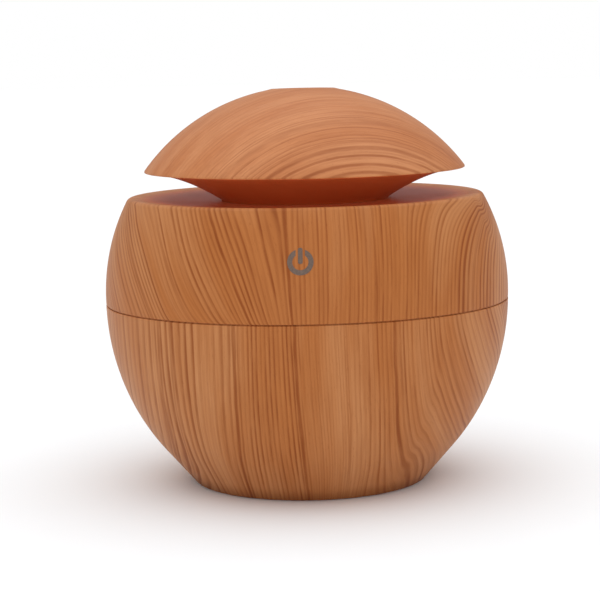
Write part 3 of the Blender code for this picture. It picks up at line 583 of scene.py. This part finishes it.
def arc(radius, centre, start, end, count):
    """(radius, height) points on a circle about (0, centre), between two heights."""
    first, last = (math.asin((z - centre) / radius) for z in (start, end))
    steps = [first + (last - first) * i / (count - 1) for i in range(count)]
    return [(radius * math.cos(a), centre + radius * math.sin(a)) for a in steps]


def ellipse(half_width, half_height, centre, start, end, count):
    """(radius, height) points on an ellipse about (0, centre), between two heights."""
    return [(half_width * r, centre + half_height * z)
            for r, z in arc(1.0, 0.0, (start - centre) / half_height, (end - centre) / half_height,
                            count)]


def rounded(corners, steps=5):
    """A closed outline. A corner is (radius, height), or (radius, height, fillet)."""
    outline = []
    for i, corner in enumerate(corners):
        here = Vector(corner[:2])
        if len(corner) == 2:
            outline.append(here)
            continue
        back = (Vector(corners[i - 1][:2]) - here).normalized()
        onward = (Vector(corners[(i + 1) % len(corners)][:2]) - here).normalized()
        half = back.angle(onward) / 2
        centre = here + (back + onward).normalized() * corner[2] / math.sin(half)
        start, end = (here + way * corner[2] / math.tan(half) - centre for way in (back, onward))
        sweep = math.pi - 2 * half
        for k in range(steps + 1):
            share = k / steps
            outline.append(centre + (start * math.sin((1 - share) * sweep)
                                     + end * math.sin(share * sweep)) / math.sin(sweep))
    return outline


def turned_mesh(name, outline, segments=SEGMENTS):
    """A closed mesh turned about Z from a loop of (radius, height) points."""
    bm = bmesh.new()
    rings = []
    for r, z in outline:
        count = segments if r > 1e-6 else 1
        turns = [2 * math.pi * i / count for i in range(count)]
        rings.append([bm.verts.new((r * math.cos(a), r * math.sin(a), z)) for a in turns])
    for low, high in zip(rings, rings[1:] + rings[:1]):
        if len(low) == len(high) == 1:
            continue
        for i in range(segments):
            j = (i + 1) % segments
            corners = [low[i % len(low)], low[j % len(low)], high[j % len(high)], high[i % len(high)]]
            bm.faces.new(list(dict.fromkeys(corners)))
    return finished_mesh(bm, name)


def finished_mesh(bm, name):
    bmesh.ops.recalc_face_normals(bm, faces=bm.faces)
    mesh = bpy.data.meshes.new(name)
    bm.to_mesh(mesh)
    bm.free()
    return mesh


def linked(name, data):
    """A new object in the scene."""
    obj = bpy.data.objects.new(name, data)
    bpy.context.scene.collection.objects.link(obj)
    return obj


def piece(name, mesh, finish, body, nodes=()):
    """Puts a mesh made in millimetres in the scene, as a piece that rides on a body."""
    mesh.transform(Matrix.Scale(MM, 4))
    mesh.materials.append(finish)
    smooth(mesh)
    obj = linked(name, mesh)
    flat = obj.modifiers.new("flat_faces_stay_flat", "WEIGHTED_NORMAL")
    flat.keep_sharp = True
    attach(obj, body)
    if nodes:
        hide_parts(*nodes)
    return obj


def smooth(mesh):
    mesh.shade_smooth()
    mesh.set_sharp_from_angle(angle=math.radians(34))


def carve(mesh, operation, *tools):
    """The mesh after a Boolean with each tool's bmesh."""
    target = linked("target", mesh)
    helpers = []
    for tool in tools:
        helper = linked("tool", finished_mesh(tool, "tool"))
        modifier = target.modifiers.new("carve", "BOOLEAN")
        modifier.operation = operation
        modifier.object = helper
        modifier.solver = "EXACT"
        helpers.append(helper)
    shape = target.evaluated_get(bpy.context.evaluated_depsgraph_get())
    carved = bpy.data.meshes.new_from_object(shape)
    carved.name = mesh.name
    for obj in [target, *helpers]:
        bpy.data.objects.remove(obj, do_unlink=True)
    return carved


def rounded_rectangle(half_width, half_height, fillet):
    """(across, up) points of a rectangle with round corners."""
    corners = [(half_width, half_height, fillet), (-half_width, half_height, fillet),
               (-half_width, -half_height, fillet), (half_width, -half_height, fillet)]
    return rounded(corners, 6)


def lofted(loops, bm=None):
    """A closed skin through loops of points, with both ends filled, in a new or given bmesh."""
    if bm is None:
        bm = bmesh.new()
    rings = [[bm.verts.new(point) for point in loop] for loop in loops]
    for low, high in zip(rings, rings[1:]):
        for i in range(len(low)):
            j = (i + 1) % len(low)
            bm.faces.new((low[i], low[j], high[j], high[i]))
    bm.faces.new(rings[0])
    bm.faces.new(rings[-1])
    return bm


def rod(centre, radius, bottom, top, sides=32):
    """A closed round rod's bmesh, upright at a place."""
    circle = [(centre[0] + radius * math.cos(2 * math.pi * i / sides),
               centre[1] + radius * math.sin(2 * math.pi * i / sides)) for i in range(sides)]
    return lofted([[(*point, z) for point in circle] for z in (bottom, top)])


def soft_block(low, high, turn, edge):
    """A block between two corners with bevelled edges, turned about Z by so many degrees."""
    bm = bmesh.new()
    size = [b - a for a, b in zip(low, high)]
    middle = [(a + b) / 2 for a, b in zip(low, high)]
    matrix = (Matrix.Rotation(math.radians(turn), 4, "Z") @ Matrix.Translation(middle)
              @ Matrix.Diagonal((*size, 1)))
    bmesh.ops.create_cube(bm, size=1, matrix=matrix)
    bmesh.ops.bevel(bm, geom=bm.edges, offset=edge, segments=3, profile=0.5, affect="EDGES")
    return bm


def spots(radius, angles):
    """(x, y) places on a circle, at angles in degrees."""
    return [(radius * math.cos(a), radius * math.sin(a)) for a in map(math.radians, angles)]


def paint(obj, finish, rule):
    """Gives another finish to the faces that the rule picks by their centre."""
    obj.data.materials.append(finish)
    index = len(obj.data.materials) - 1
    for face in obj.data.polygons:
        if rule(face.center / MM):
            face.material_index = index


# -------- the tank

def oval_radius(z):
    share = (z - BOWL_CENTRE) / BOWL_HALF_HEIGHT
    return BALL_RADIUS * math.sqrt(max(0.0, 1 - share * share))


def bowl_radius(z):
    """The bowl's outside: an oval above a short cone."""
    if z > CONE_TOP:
        return oval_radius(z)
    share = (z - BOWL_BOTTOM) / (CONE_TOP - BOWL_BOTTOM)
    return BASE_RADIUS + (oval_radius(CONE_TOP) - BASE_RADIUS) * share


def tank_bowl():
    lip, base, recess = 0.2, 0.3, BOWL_BOTTOM + 0.4
    register, rise = BALL_RADIUS - 0.45, 0.2  # a raised step that keeps light out of the seam
    groove_in, groove_out, groove_top, groove_edge = 20.0, 25.0, 2.0, 0.2
    inside, floor_fillet = BALL_RADIUS - WALL, 2.4
    ledge_in, ledge_low, ledge_high = 45.0, 40.0, 42.0
    print_depth = 0.9  # faces further in than this are plain brown
    side = ellipse(BALL_RADIUS, BOWL_HALF_HEIGHT, BOWL_CENTRE, CONE_TOP, BOWL_TOP - 2 * lip, 52)
    inner = ellipse(inside, BOWL_HALF_HEIGHT - WALL, BOWL_CENTRE, BOWL_TOP - 2 * lip,
                    BOWL_FLOOR + 3.0, 44)
    floor_edge = inside / BALL_RADIUS * oval_radius(BOWL_FLOOR) - 0.4
    corners = ([(0, recess), (groove_in, recess, 0.15), (groove_in, groove_top, groove_edge),
                (groove_out, groove_top, groove_edge), (groove_out, BOWL_BOTTOM, groove_edge),
                (BASE_RADIUS, BOWL_BOTTOM, base)]
               + side + [(bowl_radius(BOWL_TOP), BOWL_TOP, lip), (register, BOWL_TOP, 0.05),
                         (register, BOWL_TOP + rise, 0.05), (inside, BOWL_TOP + rise, lip)]
               + inner + [(floor_edge, BOWL_FLOOR, floor_fillet), (0, BOWL_FLOOR)])
    mesh = turned_mesh("tank_bowl", rounded(corners))
    ledges = [soft_block((ledge_in, -LUG_HALF_WIDTH, ledge_low),
                         (BALL_RADIUS - WALL / 2, LUG_HALF_WIDTH, ledge_high),
                         angle - LEDGE_OFFSET, 0.3) for angle in LUG_ANGLES]
    bowl = piece("bowl", carve(mesh, "UNION", *ledges), BOWL_WOOD, "tank",
                 ["tank_bowl"])
    paint(bowl, BROWN, lambda c: math.hypot(c.x, c.y) < bowl_radius(c.z) - print_depth)


def foot_ring():
    outer, bottom, top = span("foot_ring")
    inner = outer - 4.4
    corners = [(inner, bottom, 0.5), (outer, bottom, 0.5), (outer, top, 0.15), (inner, top, 0.15)]
    piece("foot_ring_soft", turned_mesh("foot_ring_soft", rounded(corners)), RUBBER, "tank",
          ["foot_ring"])


# -------- the upper unit

def seal_ring():
    lip, bottom, top = span("seal_ring")
    inner = lip - 3.4
    corners = [(inner, bottom, 0.2), (lip, bottom + 0.4, 0.25), (lip, bottom + 1.0, 0.25),
               (inner + 2.1, bottom + 1.15, 0.3), (inner + 1.6, top, 0.2), (inner, top, 0.2)]
    piece("seal", turned_mesh("seal", rounded(corners, 4)), SILICONE, "seal",
          ["seal_ring"])


def dish(radius):
    """The height of the upper shell's hollowed top face."""
    share = (radius - STEM_RADIUS) / (RIM_TOP_RADIUS - STEM_RADIUS)
    return STEM_BOTTOM + (RIM_TOP - STEM_BOTTOM) * share * share


def upper_shell():
    edge, inside = 0.1, BALL_RADIUS - WALL
    rim_steps, face_steps = 10, 24
    side_end = math.asin((RIM_CENTRE_Z - UPPER_CENTRE) / (BALL_RADIUS - RIM_FILLET))
    side_top = UPPER_CENTRE + BALL_RADIUS * math.sin(side_end)
    side = arc(BALL_RADIUS, UPPER_CENTRE, UPPER_BOTTOM + 0.8, side_top, 44)
    turns = [side_end + (math.pi / 2 - side_end) * i / rim_steps for i in range(1, rim_steps + 1)]
    rim = [(RIM_TOP_RADIUS + RIM_FILLET * math.cos(a), RIM_CENTRE_Z + RIM_FILLET * math.sin(a))
           for a in turns]
    face_edge = STEM_RADIUS + 0.3
    face = [(r, dish(r)) for r in (RIM_TOP_RADIUS + (face_edge - RIM_TOP_RADIUS) * i / face_steps
                                   for i in range(1, face_steps))]
    inner = arc(inside, UPPER_CENTRE, TOP_UNDERSIDE - 1.0, UPPER_BOTTOM + 1.0, 32)
    bottom = [math.sqrt(r * r - (UPPER_BOTTOM - UPPER_CENTRE) ** 2) for r in (inside, BALL_RADIUS)]
    underside_edge = math.sqrt(inside ** 2 - (TOP_UNDERSIDE - UPPER_CENTRE) ** 2)
    corners = ([(bottom[1], UPPER_BOTTOM, edge)] + side + rim + face
               + [(face_edge, dish(face_edge), 0.15), (face_edge, STEM_SEAT, 0.1),
                  (SHELL_HOLE, STEM_SEAT, 0.1), (SHELL_HOLE, TOP_UNDERSIDE, 0.15),
                  (underside_edge, TOP_UNDERSIDE, 0.5)]
               + inner + [(bottom[0], UPPER_BOTTOM, edge)])
    mesh = turned_mesh("upper_shell", rounded(corners))

    screw_spots = spots(CHASSIS_SCREW_CIRCLE, CHASSIS_SCREW_ANGLES)
    boss_radius, boss_low, hole_radius, hole_low, hole_top = 3.2, 49.3, 1.4, 48.0, 60.0
    bosses = [rod(spot, boss_radius, boss_low, TOP_UNDERSIDE + 0.8) for spot in screw_spots]
    holes = [rod(spot, hole_radius, hole_low, hole_top) for spot in screw_spots]
    half_width, half_height, fillet, flare = 5.7, 3.5, 1.0, 1.1  # of the USB mouth
    depths = [(44.0, 0.0), (BALL_RADIUS - 1.4, 0.0), (BALL_RADIUS + 0.6, flare), (52.0, flare)]
    mouth = lofted([[(across, y, USB_HEIGHT + up) for across, up in
                     rounded_rectangle(half_width + grow, half_height + grow, fillet + grow)]
                    for y, grow in depths])
    mesh = carve(carve(mesh, "UNION", *bosses), "DIFFERENCE", mouth, *holes)
    shell = piece("upper_body", mesh, UPPER_WOOD, "upper_unit", ["upper_shell"])

    def plain(c):
        radius = math.hypot(c.x, c.y)
        inside_ball = math.hypot(radius, c.z - UPPER_CENTRE) < BALL_RADIUS - 0.7
        return inside_ball and c.z < dish(radius) - 0.4

    paint(shell, BROWN, plain)


def power_symbol():
    """A broken ring with a bar through its gap, printed a hair proud of the shell."""
    radius, stroke, half_gap, steps = 2.4, 1.15, 1.05, 48
    bar_rise, bar = 1.43, rounded_rectangle(0.53, 1.85, 0.46)
    sunk, proud = -0.2, 0.05
    lean = math.asin((SYMBOL_HEIGHT - UPPER_CENTRE) / BALL_RADIUS)

    def on_shell(across, up, lift):
        tilt = lean + up / BALL_RADIUS
        turn = math.radians(SYMBOL_ANGLE) + across / (BALL_RADIUS * math.cos(tilt))
        reach = BALL_RADIUS + lift
        out = reach * math.cos(tilt)
        return out * math.sin(turn), -out * math.cos(turn), UPPER_CENTRE + reach * math.sin(tilt)

    edges = []
    for side in (radius + stroke / 2, radius - stroke / 2):
        start = math.asin(half_gap / side)
        turns = [start + (2 * math.pi - 2 * start) * i / steps for i in range(steps + 1)]
        edges.append([(side * math.sin(a), side * math.cos(a)) for a in turns])
    bm = lofted([[on_shell(*outer, sunk), on_shell(*outer, proud), on_shell(*inner, proud),
                  on_shell(*inner, sunk)] for outer, inner in zip(*edges)])
    lofted([[on_shell(across, up + bar_rise, lift) for across, up in bar]
            for lift in (sunk, proud)], bm)
    piece("power_symbol", finished_mesh(bm, "power_symbol"), symbol_print(), "upper_unit")


def chassis():
    plate_low, plate_high, plate_radius = 47.0, 49.0, 47.2
    skirt_low, skirt_in, skirt_out = 37.3, 42.0, 44.6
    groove, groove_low, groove_high = 43.6, 42.3, 44.7
    bore, socket_in, socket_out, socket_low = 4.8, 6.4, 8.3, 36.0
    collar_in, collar_out, collar_top = 6.1, 7.6, 52.0
    lug_out, lug_top = 46.3, 39.6
    post_circle, post_angles = 24.0, (60, 180, 300)
    post_radius, post_hole, post_top = 2.6, 1.3, 52.7
    rib_in, rib_out, rib_low, rib_half = 11.5, 41.0, 43.6, 0.6
    screw_hole = 1.7
    corners = [(bore, plate_high, 0.2), (collar_in, plate_high, 0.1), (collar_in, collar_top, 0.3),
               (collar_out, collar_top, 0.3), (collar_out, plate_high, 0.3),
               (plate_radius, plate_high, 0.3), (plate_radius, plate_low, 0.3),
               (skirt_out, plate_low, 0.3), (skirt_out, groove_high, 0.3),
               (groove, groove_high, 0.1), (groove, groove_low, 0.1), (skirt_out, groove_low, 0.3),
               (skirt_out, skirt_low, 0.5), (skirt_in, skirt_low, 0.5), (skirt_in, plate_low, 1.0),
               (socket_out, plate_low, 1.0), (socket_out, socket_low, 0.5),
               (socket_in, socket_low, 0.4), (socket_in, plate_low, 0.2), (bore, plate_low, 0.2)]
    mesh = turned_mesh("chassis", rounded(corners, 4))
    lugs = [soft_block((skirt_in + 1, -LUG_HALF_WIDTH, skirt_low + 0.2),
                       (lug_out, LUG_HALF_WIDTH, lug_top), angle, 0.4) for angle in LUG_ANGLES]
    post_spots = spots(post_circle, post_angles)
    posts = [rod(spot, post_radius, plate_high - 0.5, post_top) for spot in post_spots]
    ribs = [soft_block((rib_in, -rib_half, rib_low), (rib_out, rib_half, plate_low + 0.3), angle, 0.2)
            for angle in post_angles]
    holes = ([rod(spot, post_hole, plate_high + 0.6, post_top + 1.3) for spot in post_spots]
             + [rod(spot, screw_hole, plate_low - 1, plate_high + 1)
                for spot in spots(CHASSIS_SCREW_CIRCLE, CHASSIS_SCREW_ANGLES)])
    mesh = carve(carve(mesh, "UNION", *lugs, *posts, *ribs), "DIFFERENCE", *holes)
    piece("chassis_plate", mesh, WHITE, "upper_unit", ["chassis"])


def funnel(radius):
    """The height of the cap's underside, which sweeps down from the rim to the stem."""
    share = (DOME_RIM_RADIUS - radius) / (DOME_RIM_RADIUS - STEM_RADIUS)
    return DOME_BOTTOM - (DOME_BOTTOM - STEM_BOTTOM) * max(0.0, share) ** 1.75


def dome_inside(z):
    return math.sqrt((DOME_RADIUS - DOME_WALL) ** 2 - (z - DOME_CENTRE) ** 2)


def stem_funnel():
    clearance, wall = 0.3, 1.9
    neck, neck_low, bore = SHELL_HOLE - 0.3, span("stem_funnel")[1], 14.5
    seat, edge = STEM_SEAT + 0.3, dome_inside(DOME_BOTTOM) - clearance
    ledge = dome_inside(DOME_BOTTOM + 0.7) - clearance
    spigot_top, spigot_wall = DOME_BOTTOM + 1.7, 1.4
    spigot = dome_inside(spigot_top) - 0.6
    under_steps, top_steps = 36, 24
    under = [(r, funnel(r)) for r in (STEM_RADIUS + (edge - STEM_RADIUS) * i / under_steps
                                      for i in range(1, under_steps))]
    top_run = STEM_RADIUS - 1.5 - spigot
    wall_top = [(r, funnel(max(r, STEM_RADIUS)) + wall)
                for r in (spigot - spigot_wall + top_run * i / top_steps
                          for i in range(1, top_steps + 1))]
    corners = ([(neck, neck_low, 0.3), (neck, seat, 0.1), (STEM_RADIUS, seat, 0.12)] + under
               + [(edge, funnel(edge), 0.1), (ledge, DOME_BOTTOM + 0.6),
                  (spigot, spigot_top, 0.3), (spigot - spigot_wall, spigot_top, 0.3)]
               + wall_top + [(bore, STEM_SEAT), (bore, neck_low, 0.3)])
    piece("stem_and_underside", turned_mesh("stem_and_underside", rounded(corners)), BROWN,
          "upper_unit", ["stem_funnel"])


def dome_cap():
    inside, print_depth = DOME_RADIUS - DOME_WALL, 0.9
    collar_in, collar_out, collar_low, collar_top = 11.3, 17.8, 88.5, 95.2
    screw_circle, hole_radius, hole_depth = 14.6, 1.2, 3.4
    side_top = DOME_CENTRE + math.sqrt(DOME_RADIUS ** 2 - (DOME_FLAT + 1.6) ** 2)
    side = arc(DOME_RADIUS, DOME_CENTRE, DOME_BOTTOM + 0.5, side_top, 48)
    inner_top = DOME_CENTRE + math.sqrt(inside ** 2 - collar_out ** 2)
    inner = arc(inside, DOME_CENTRE, inner_top, DOME_BOTTOM + 0.6, 32)
    corners = ([(DOME_RIM_RADIUS - 0.05, DOME_BOTTOM, 0.18)] + side
               + [(DOME_FLAT + 0.5, DOME_TOP - 0.04), (DOME_FLAT - 0.6, DOME_TOP),
                  (MOUTH_RADIUS, DOME_TOP, 0.5), (MOUTH_RADIUS, collar_top, 0.2),
                  (collar_in, collar_top, 0.3), (collar_in, collar_low, 0.3),
                  (collar_out, collar_low, 0.3)]
               + inner + [(dome_inside(DOME_BOTTOM), DOME_BOTTOM, 0.15)])
    mesh = turned_mesh("dome_cap", rounded(corners))
    holes = [rod(spot, hole_radius, collar_low - 1, collar_low + hole_depth, 24)
             for spot in spots(screw_circle, (30, 150, 270))]
    dome = piece("dome", carve(mesh, "DIFFERENCE", *holes), DOME_WOOD, "upper_unit",
                 ["dome_cap"])

    def plain(c):
        reach = math.hypot(math.hypot(c.x, c.y), c.z - DOME_CENTRE)
        return reach < DOME_RADIUS - print_depth or c.z < DOME_BOTTOM + 0.05

    paint(dome, BROWN, plain)


# -------- the atomiser and the wick

def atomiser():
    radius, bottom, _ = span("mesh_plate")
    thick, crown_radius, crown_rise, steps = 0.3, 2.4, 0.3, 10
    turns = [math.pi / 2 * (1 - i / steps) for i in range(steps + 1)]
    crown = [(crown_radius * math.sin(a), crown_rise * math.cos(a)) for a in turns]
    upper = [(r, bottom + thick + rise) for r, rise in crown]
    lower = [(r, bottom + rise) for r, rise in reversed(crown)]
    corners = [(radius, bottom, 0.1), (radius, bottom + thick, 0.1)] + upper + lower
    piece("vibrating_plate", turned_mesh("vibrating_plate", rounded(corners, 3), FINE_SEGMENTS),
          mesh_metal(), "upper_unit", ["mesh_plate"])
    outer, low, high = span("atomiser_disc")
    bore, edge = 4.3, 0.08
    ring = [(bore, low, edge), (outer, low, edge), (outer, high, edge), (bore, high, edge)]
    piece("piezo_ring", turned_mesh("piezo_ring", rounded(ring, 3), FINE_SEGMENTS), ceramic(),
          "upper_unit", ["atomiser_disc"])


def gasket():
    outer, low, high = span("disc_gasket")
    lip, slot, slot_low, slot_high = 5.9, 8.3, low + 0.9, high - 1.0
    corners = [(outer, low, 0.2), (outer, high, 0.2), (lip, high, 0.3), (lip, slot_high, 0.15),
               (slot, slot_high, 0.1), (slot, slot_low, 0.1), (lip, slot_low, 0.15), (lip, low, 0.3)]
    mesh = turned_mesh("disc_seal", rounded(corners, 3), FINE_SEGMENTS)
    lead_circle, lead_angles, notch = 7.5, (-12, 12), 0.8
    notches = [rod(spot, notch, low - 1, slot_low + 0.8, 24)
               for spot in spots(lead_circle, lead_angles)]
    piece("disc_seal", carve(mesh, "DIFFERENCE", *notches), SILICONE, "upper_unit",
          ["disc_gasket"])


def wick_tube():
    radius, bottom, top = span("wick_tube")
    bore, floor_top = 4.5, 8.2
    ring_z, half_groove, groove = sum(span("wick_o_ring")[1:]) / 2, 0.8, radius - 0.6
    corners = [(0, bottom), (radius, bottom, 0.7), (radius, ring_z - half_groove, 0.1),
               (groove, ring_z - half_groove, 0.1), (groove, ring_z + half_groove, 0.1),
               (radius, ring_z + half_groove, 0.1), (radius, top, 0.4), (bore, top, 0.3),
               (bore, floor_top, 0.6), (0, floor_top)]
    mesh = turned_mesh("wick_tube", rounded(corners, 4), FINE_SEGMENTS)
    slot, slot_z, slots = rounded_rectangle(1.0, 6.5, 0.95), 17.5, []
    for angle in (0, 120, 240):
        turn = Matrix.Rotation(math.radians(angle), 3, "Z")
        slots.append(lofted([[turn @ Vector((reach, across, slot_z + up)) for across, up in slot]
                             for reach in (3.0, 8.0)]))
    piece("wick_holder", carve(mesh, "DIFFERENCE", *slots), WHITE, "upper_unit",
          ["wick_tube"])


def o_ring():
    outer, low, high = span("wick_o_ring")
    section, middle, sides = (high - low) / 2, (high + low) / 2, 16
    turns = [2 * math.pi * i / sides for i in range(sides)]
    outline = [(outer - section + section * math.cos(a), middle + section * math.sin(a))
               for a in turns]
    piece("o_ring", turned_mesh("o_ring", outline, FINE_SEGMENTS), RUBBER, "upper_unit",
          ["wick_o_ring"])


def wick_spring():
    """Four open turns of wire with a closed half turn at each end."""
    _, low, high = span("wick_spring")
    wire, coil, turns, per_turn, sides = 0.3, 3.2, 5, 40, 12
    rings = []
    for i in range(turns * per_turn + 1):
        share = i / (turns * per_turn)
        angle = 2 * math.pi * turns * share
        rise = min(1.0, max(0.0, (share - 0.1) / 0.8))
        middle = Vector((coil * math.cos(angle), coil * math.sin(angle),
                         low + wire + (high - low - 2 * wire) * rise))
        outward = Vector((math.cos(angle), math.sin(angle), 0))
        rings.append([middle + outward * wire * math.cos(a) + Vector((0, 0, wire * math.sin(a)))
                      for a in (2 * math.pi * k / sides for k in range(sides))])
    spring = piece("spring", finished_mesh(lofted(rings), "spring"), STEEL, "upper_unit",
                   ["wick_spring"])
    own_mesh(spring)


def cotton_wick():
    radius, bottom, top = span("cotton_wick")
    rows, margin, depth = 120, 0.9, 0.012  # depth is a share of the radius
    side = [(radius, bottom + margin + (top - bottom - 2 * margin) * i / rows)
            for i in range(rows + 1)]
    corners = [(0, bottom), (radius, bottom, 0.6)] + side + [(radius, top, 0.6), (0, top)]
    mesh = turned_mesh("cotton_stick", rounded(corners, 4), 64)
    for vert in mesh.vertices:
        x, y, z = vert.co
        angle = math.atan2(y, x)
        felt = (math.sin(7 * angle + 0.9 * z) * math.sin(0.63 * z + 2.1 * math.sin(3 * angle))
                + math.sin(13 * angle - 1.7 * z)) * 0.5
        vert.co.xy *= 1 - depth * (1 + felt)
    piece("cotton_stick", mesh, COTTON, "wick", ["cotton_wick"])


# -------- CAD nodes that stay

def dress_nodes():
    """Procedural finishes for the CAD nodes that are shown as they are."""
    red = insulation("red_lead", srgb(176, 36, 28), srgb(150, 28, 22))
    black = insulation("black_lead", srgb(30, 30, 30), srgb(44, 44, 44))
    finishes = {
        "stem_nut": WHITE, "disc_holder": WHITE, "main_board": circuit_board(),
        "riser_tube": clear("clear_plastic_finish", srgb(236, 240, 240), srgb(222, 228, 228)),
        "usb_socket": STEEL, "usb_contact_tongue": BLACK, "touch_pad": BRASS,
        "inductor": BLACK, "control_chip": BLACK, "capacitor": STEEL,
        "touch_lead": red, "disc_lead_1": red, "disc_lead_2": black,
    }
    lens = clear("led_lens_finish", srgb(244, 240, 214), srgb(238, 230, 190))
    for number in (1, 2, 3):
        finishes[f"led_{number}"] = lens
        for screw in ("chassis_screw", "board_screw", "holder_screw"):
            finishes[f"{screw}_{number}"] = STEEL
    for name, finish in finishes.items():
        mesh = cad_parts[name].data
        if not mesh.materials:
            mesh.materials.append(finish)
        for index in range(len(mesh.materials)):
            mesh.materials[index] = finish
        smooth(mesh)


# -------- stage, light and camera

def floor():
    reach = 6.0
    mesh = bpy.data.meshes.new("floor")
    mesh.from_pydata([(-reach, -reach, 0), (reach, -reach, 0), (reach, reach, 0), (-reach, reach, 0)],
                     [], [(0, 1, 2, 3)])
    f = Finish("floor_paper", specular=0.0)
    x, y, _ = f.place()
    mottle = f.noise((x, y, 0.0), 0.02, 3)
    f.set("Base Color", f.mix(mottle, srgb(244, 246, 248), srgb(247, 249, 251)))
    f.set("Roughness", 0.9)
    mesh.materials.append(f.material)
    obj = linked("floor", mesh)


def light():
    """A large soft light overhead, a weak one in front, and a white room all round."""
    world = bpy.data.worlds.new("studio")
    world.use_nodes = True
    tree = world.node_tree
    sky, backdrop = tree.nodes["Background"], tree.nodes.new("ShaderNodeBackground")
    for node in (sky, backdrop):
        node.inputs["Color"].default_value = (1.0, 1.0, 1.0, 1.0)
    sky.inputs["Strength"].default_value = 0.53
    seen = tree.nodes.new("ShaderNodeLightPath")
    choose = tree.nodes.new("ShaderNodeMixShader")
    tree.links.new(seen.outputs["Is Camera Ray"], choose.inputs[0])
    tree.links.new(sky.outputs[0], choose.inputs[1])
    tree.links.new(backdrop.outputs[0], choose.inputs[2])
    tree.links.new(choose.outputs[0], tree.nodes["World Output"].inputs["Surface"])
    bpy.context.scene.world = world

    overhead = bpy.data.lights.new("overhead", "SUN")
    overhead.energy = 1.88
    overhead.angle = math.radians(90)
    linked("overhead", overhead)

    front = bpy.data.lights.new("front", "AREA")
    front.shape = "SQUARE"
    front.size = 1.2
    front.energy = 3.4
    lamp = linked("front", front)
    lamp.location, target = (0, -1.2, 0.10), Vector((0, 0, 0.05))
    lamp.rotation_euler = (target - lamp.location).to_track_quat("-Z", "Y").to_euler()


def camera():
    """A telephoto in front of the object, a little above it and rolled by a degree."""
    lens = bpy.data.cameras.new("camera")
    lens.lens = 115.35
    lens.clip_start, lens.clip_end = 0.01, 50.0
    obj = linked("camera", lens)
    distance, rise, middle, aside = 0.480, math.radians(6.67), 0.050, -0.00011
    obj.location = (aside, -distance * math.cos(rise), middle + distance * math.sin(rise))
    tilt, roll, turn = 82.8175, 1.1846, 0.0483
    obj.rotation_euler = [math.radians(angle) for angle in (tilt, roll, turn)]
    bpy.context.scene.camera = obj


def main():
    for build in (tank_bowl, foot_ring, seal_ring, upper_shell, power_symbol, chassis, stem_funnel,
                  dome_cap, atomiser, gasket, wick_tube, o_ring, wick_spring, cotton_wick,
                  dress_nodes, floor, light, camera):
        build()
    settings = bpy.context.scene.view_settings
    settings.view_transform = "Standard"
    settings.look = "None"


main()
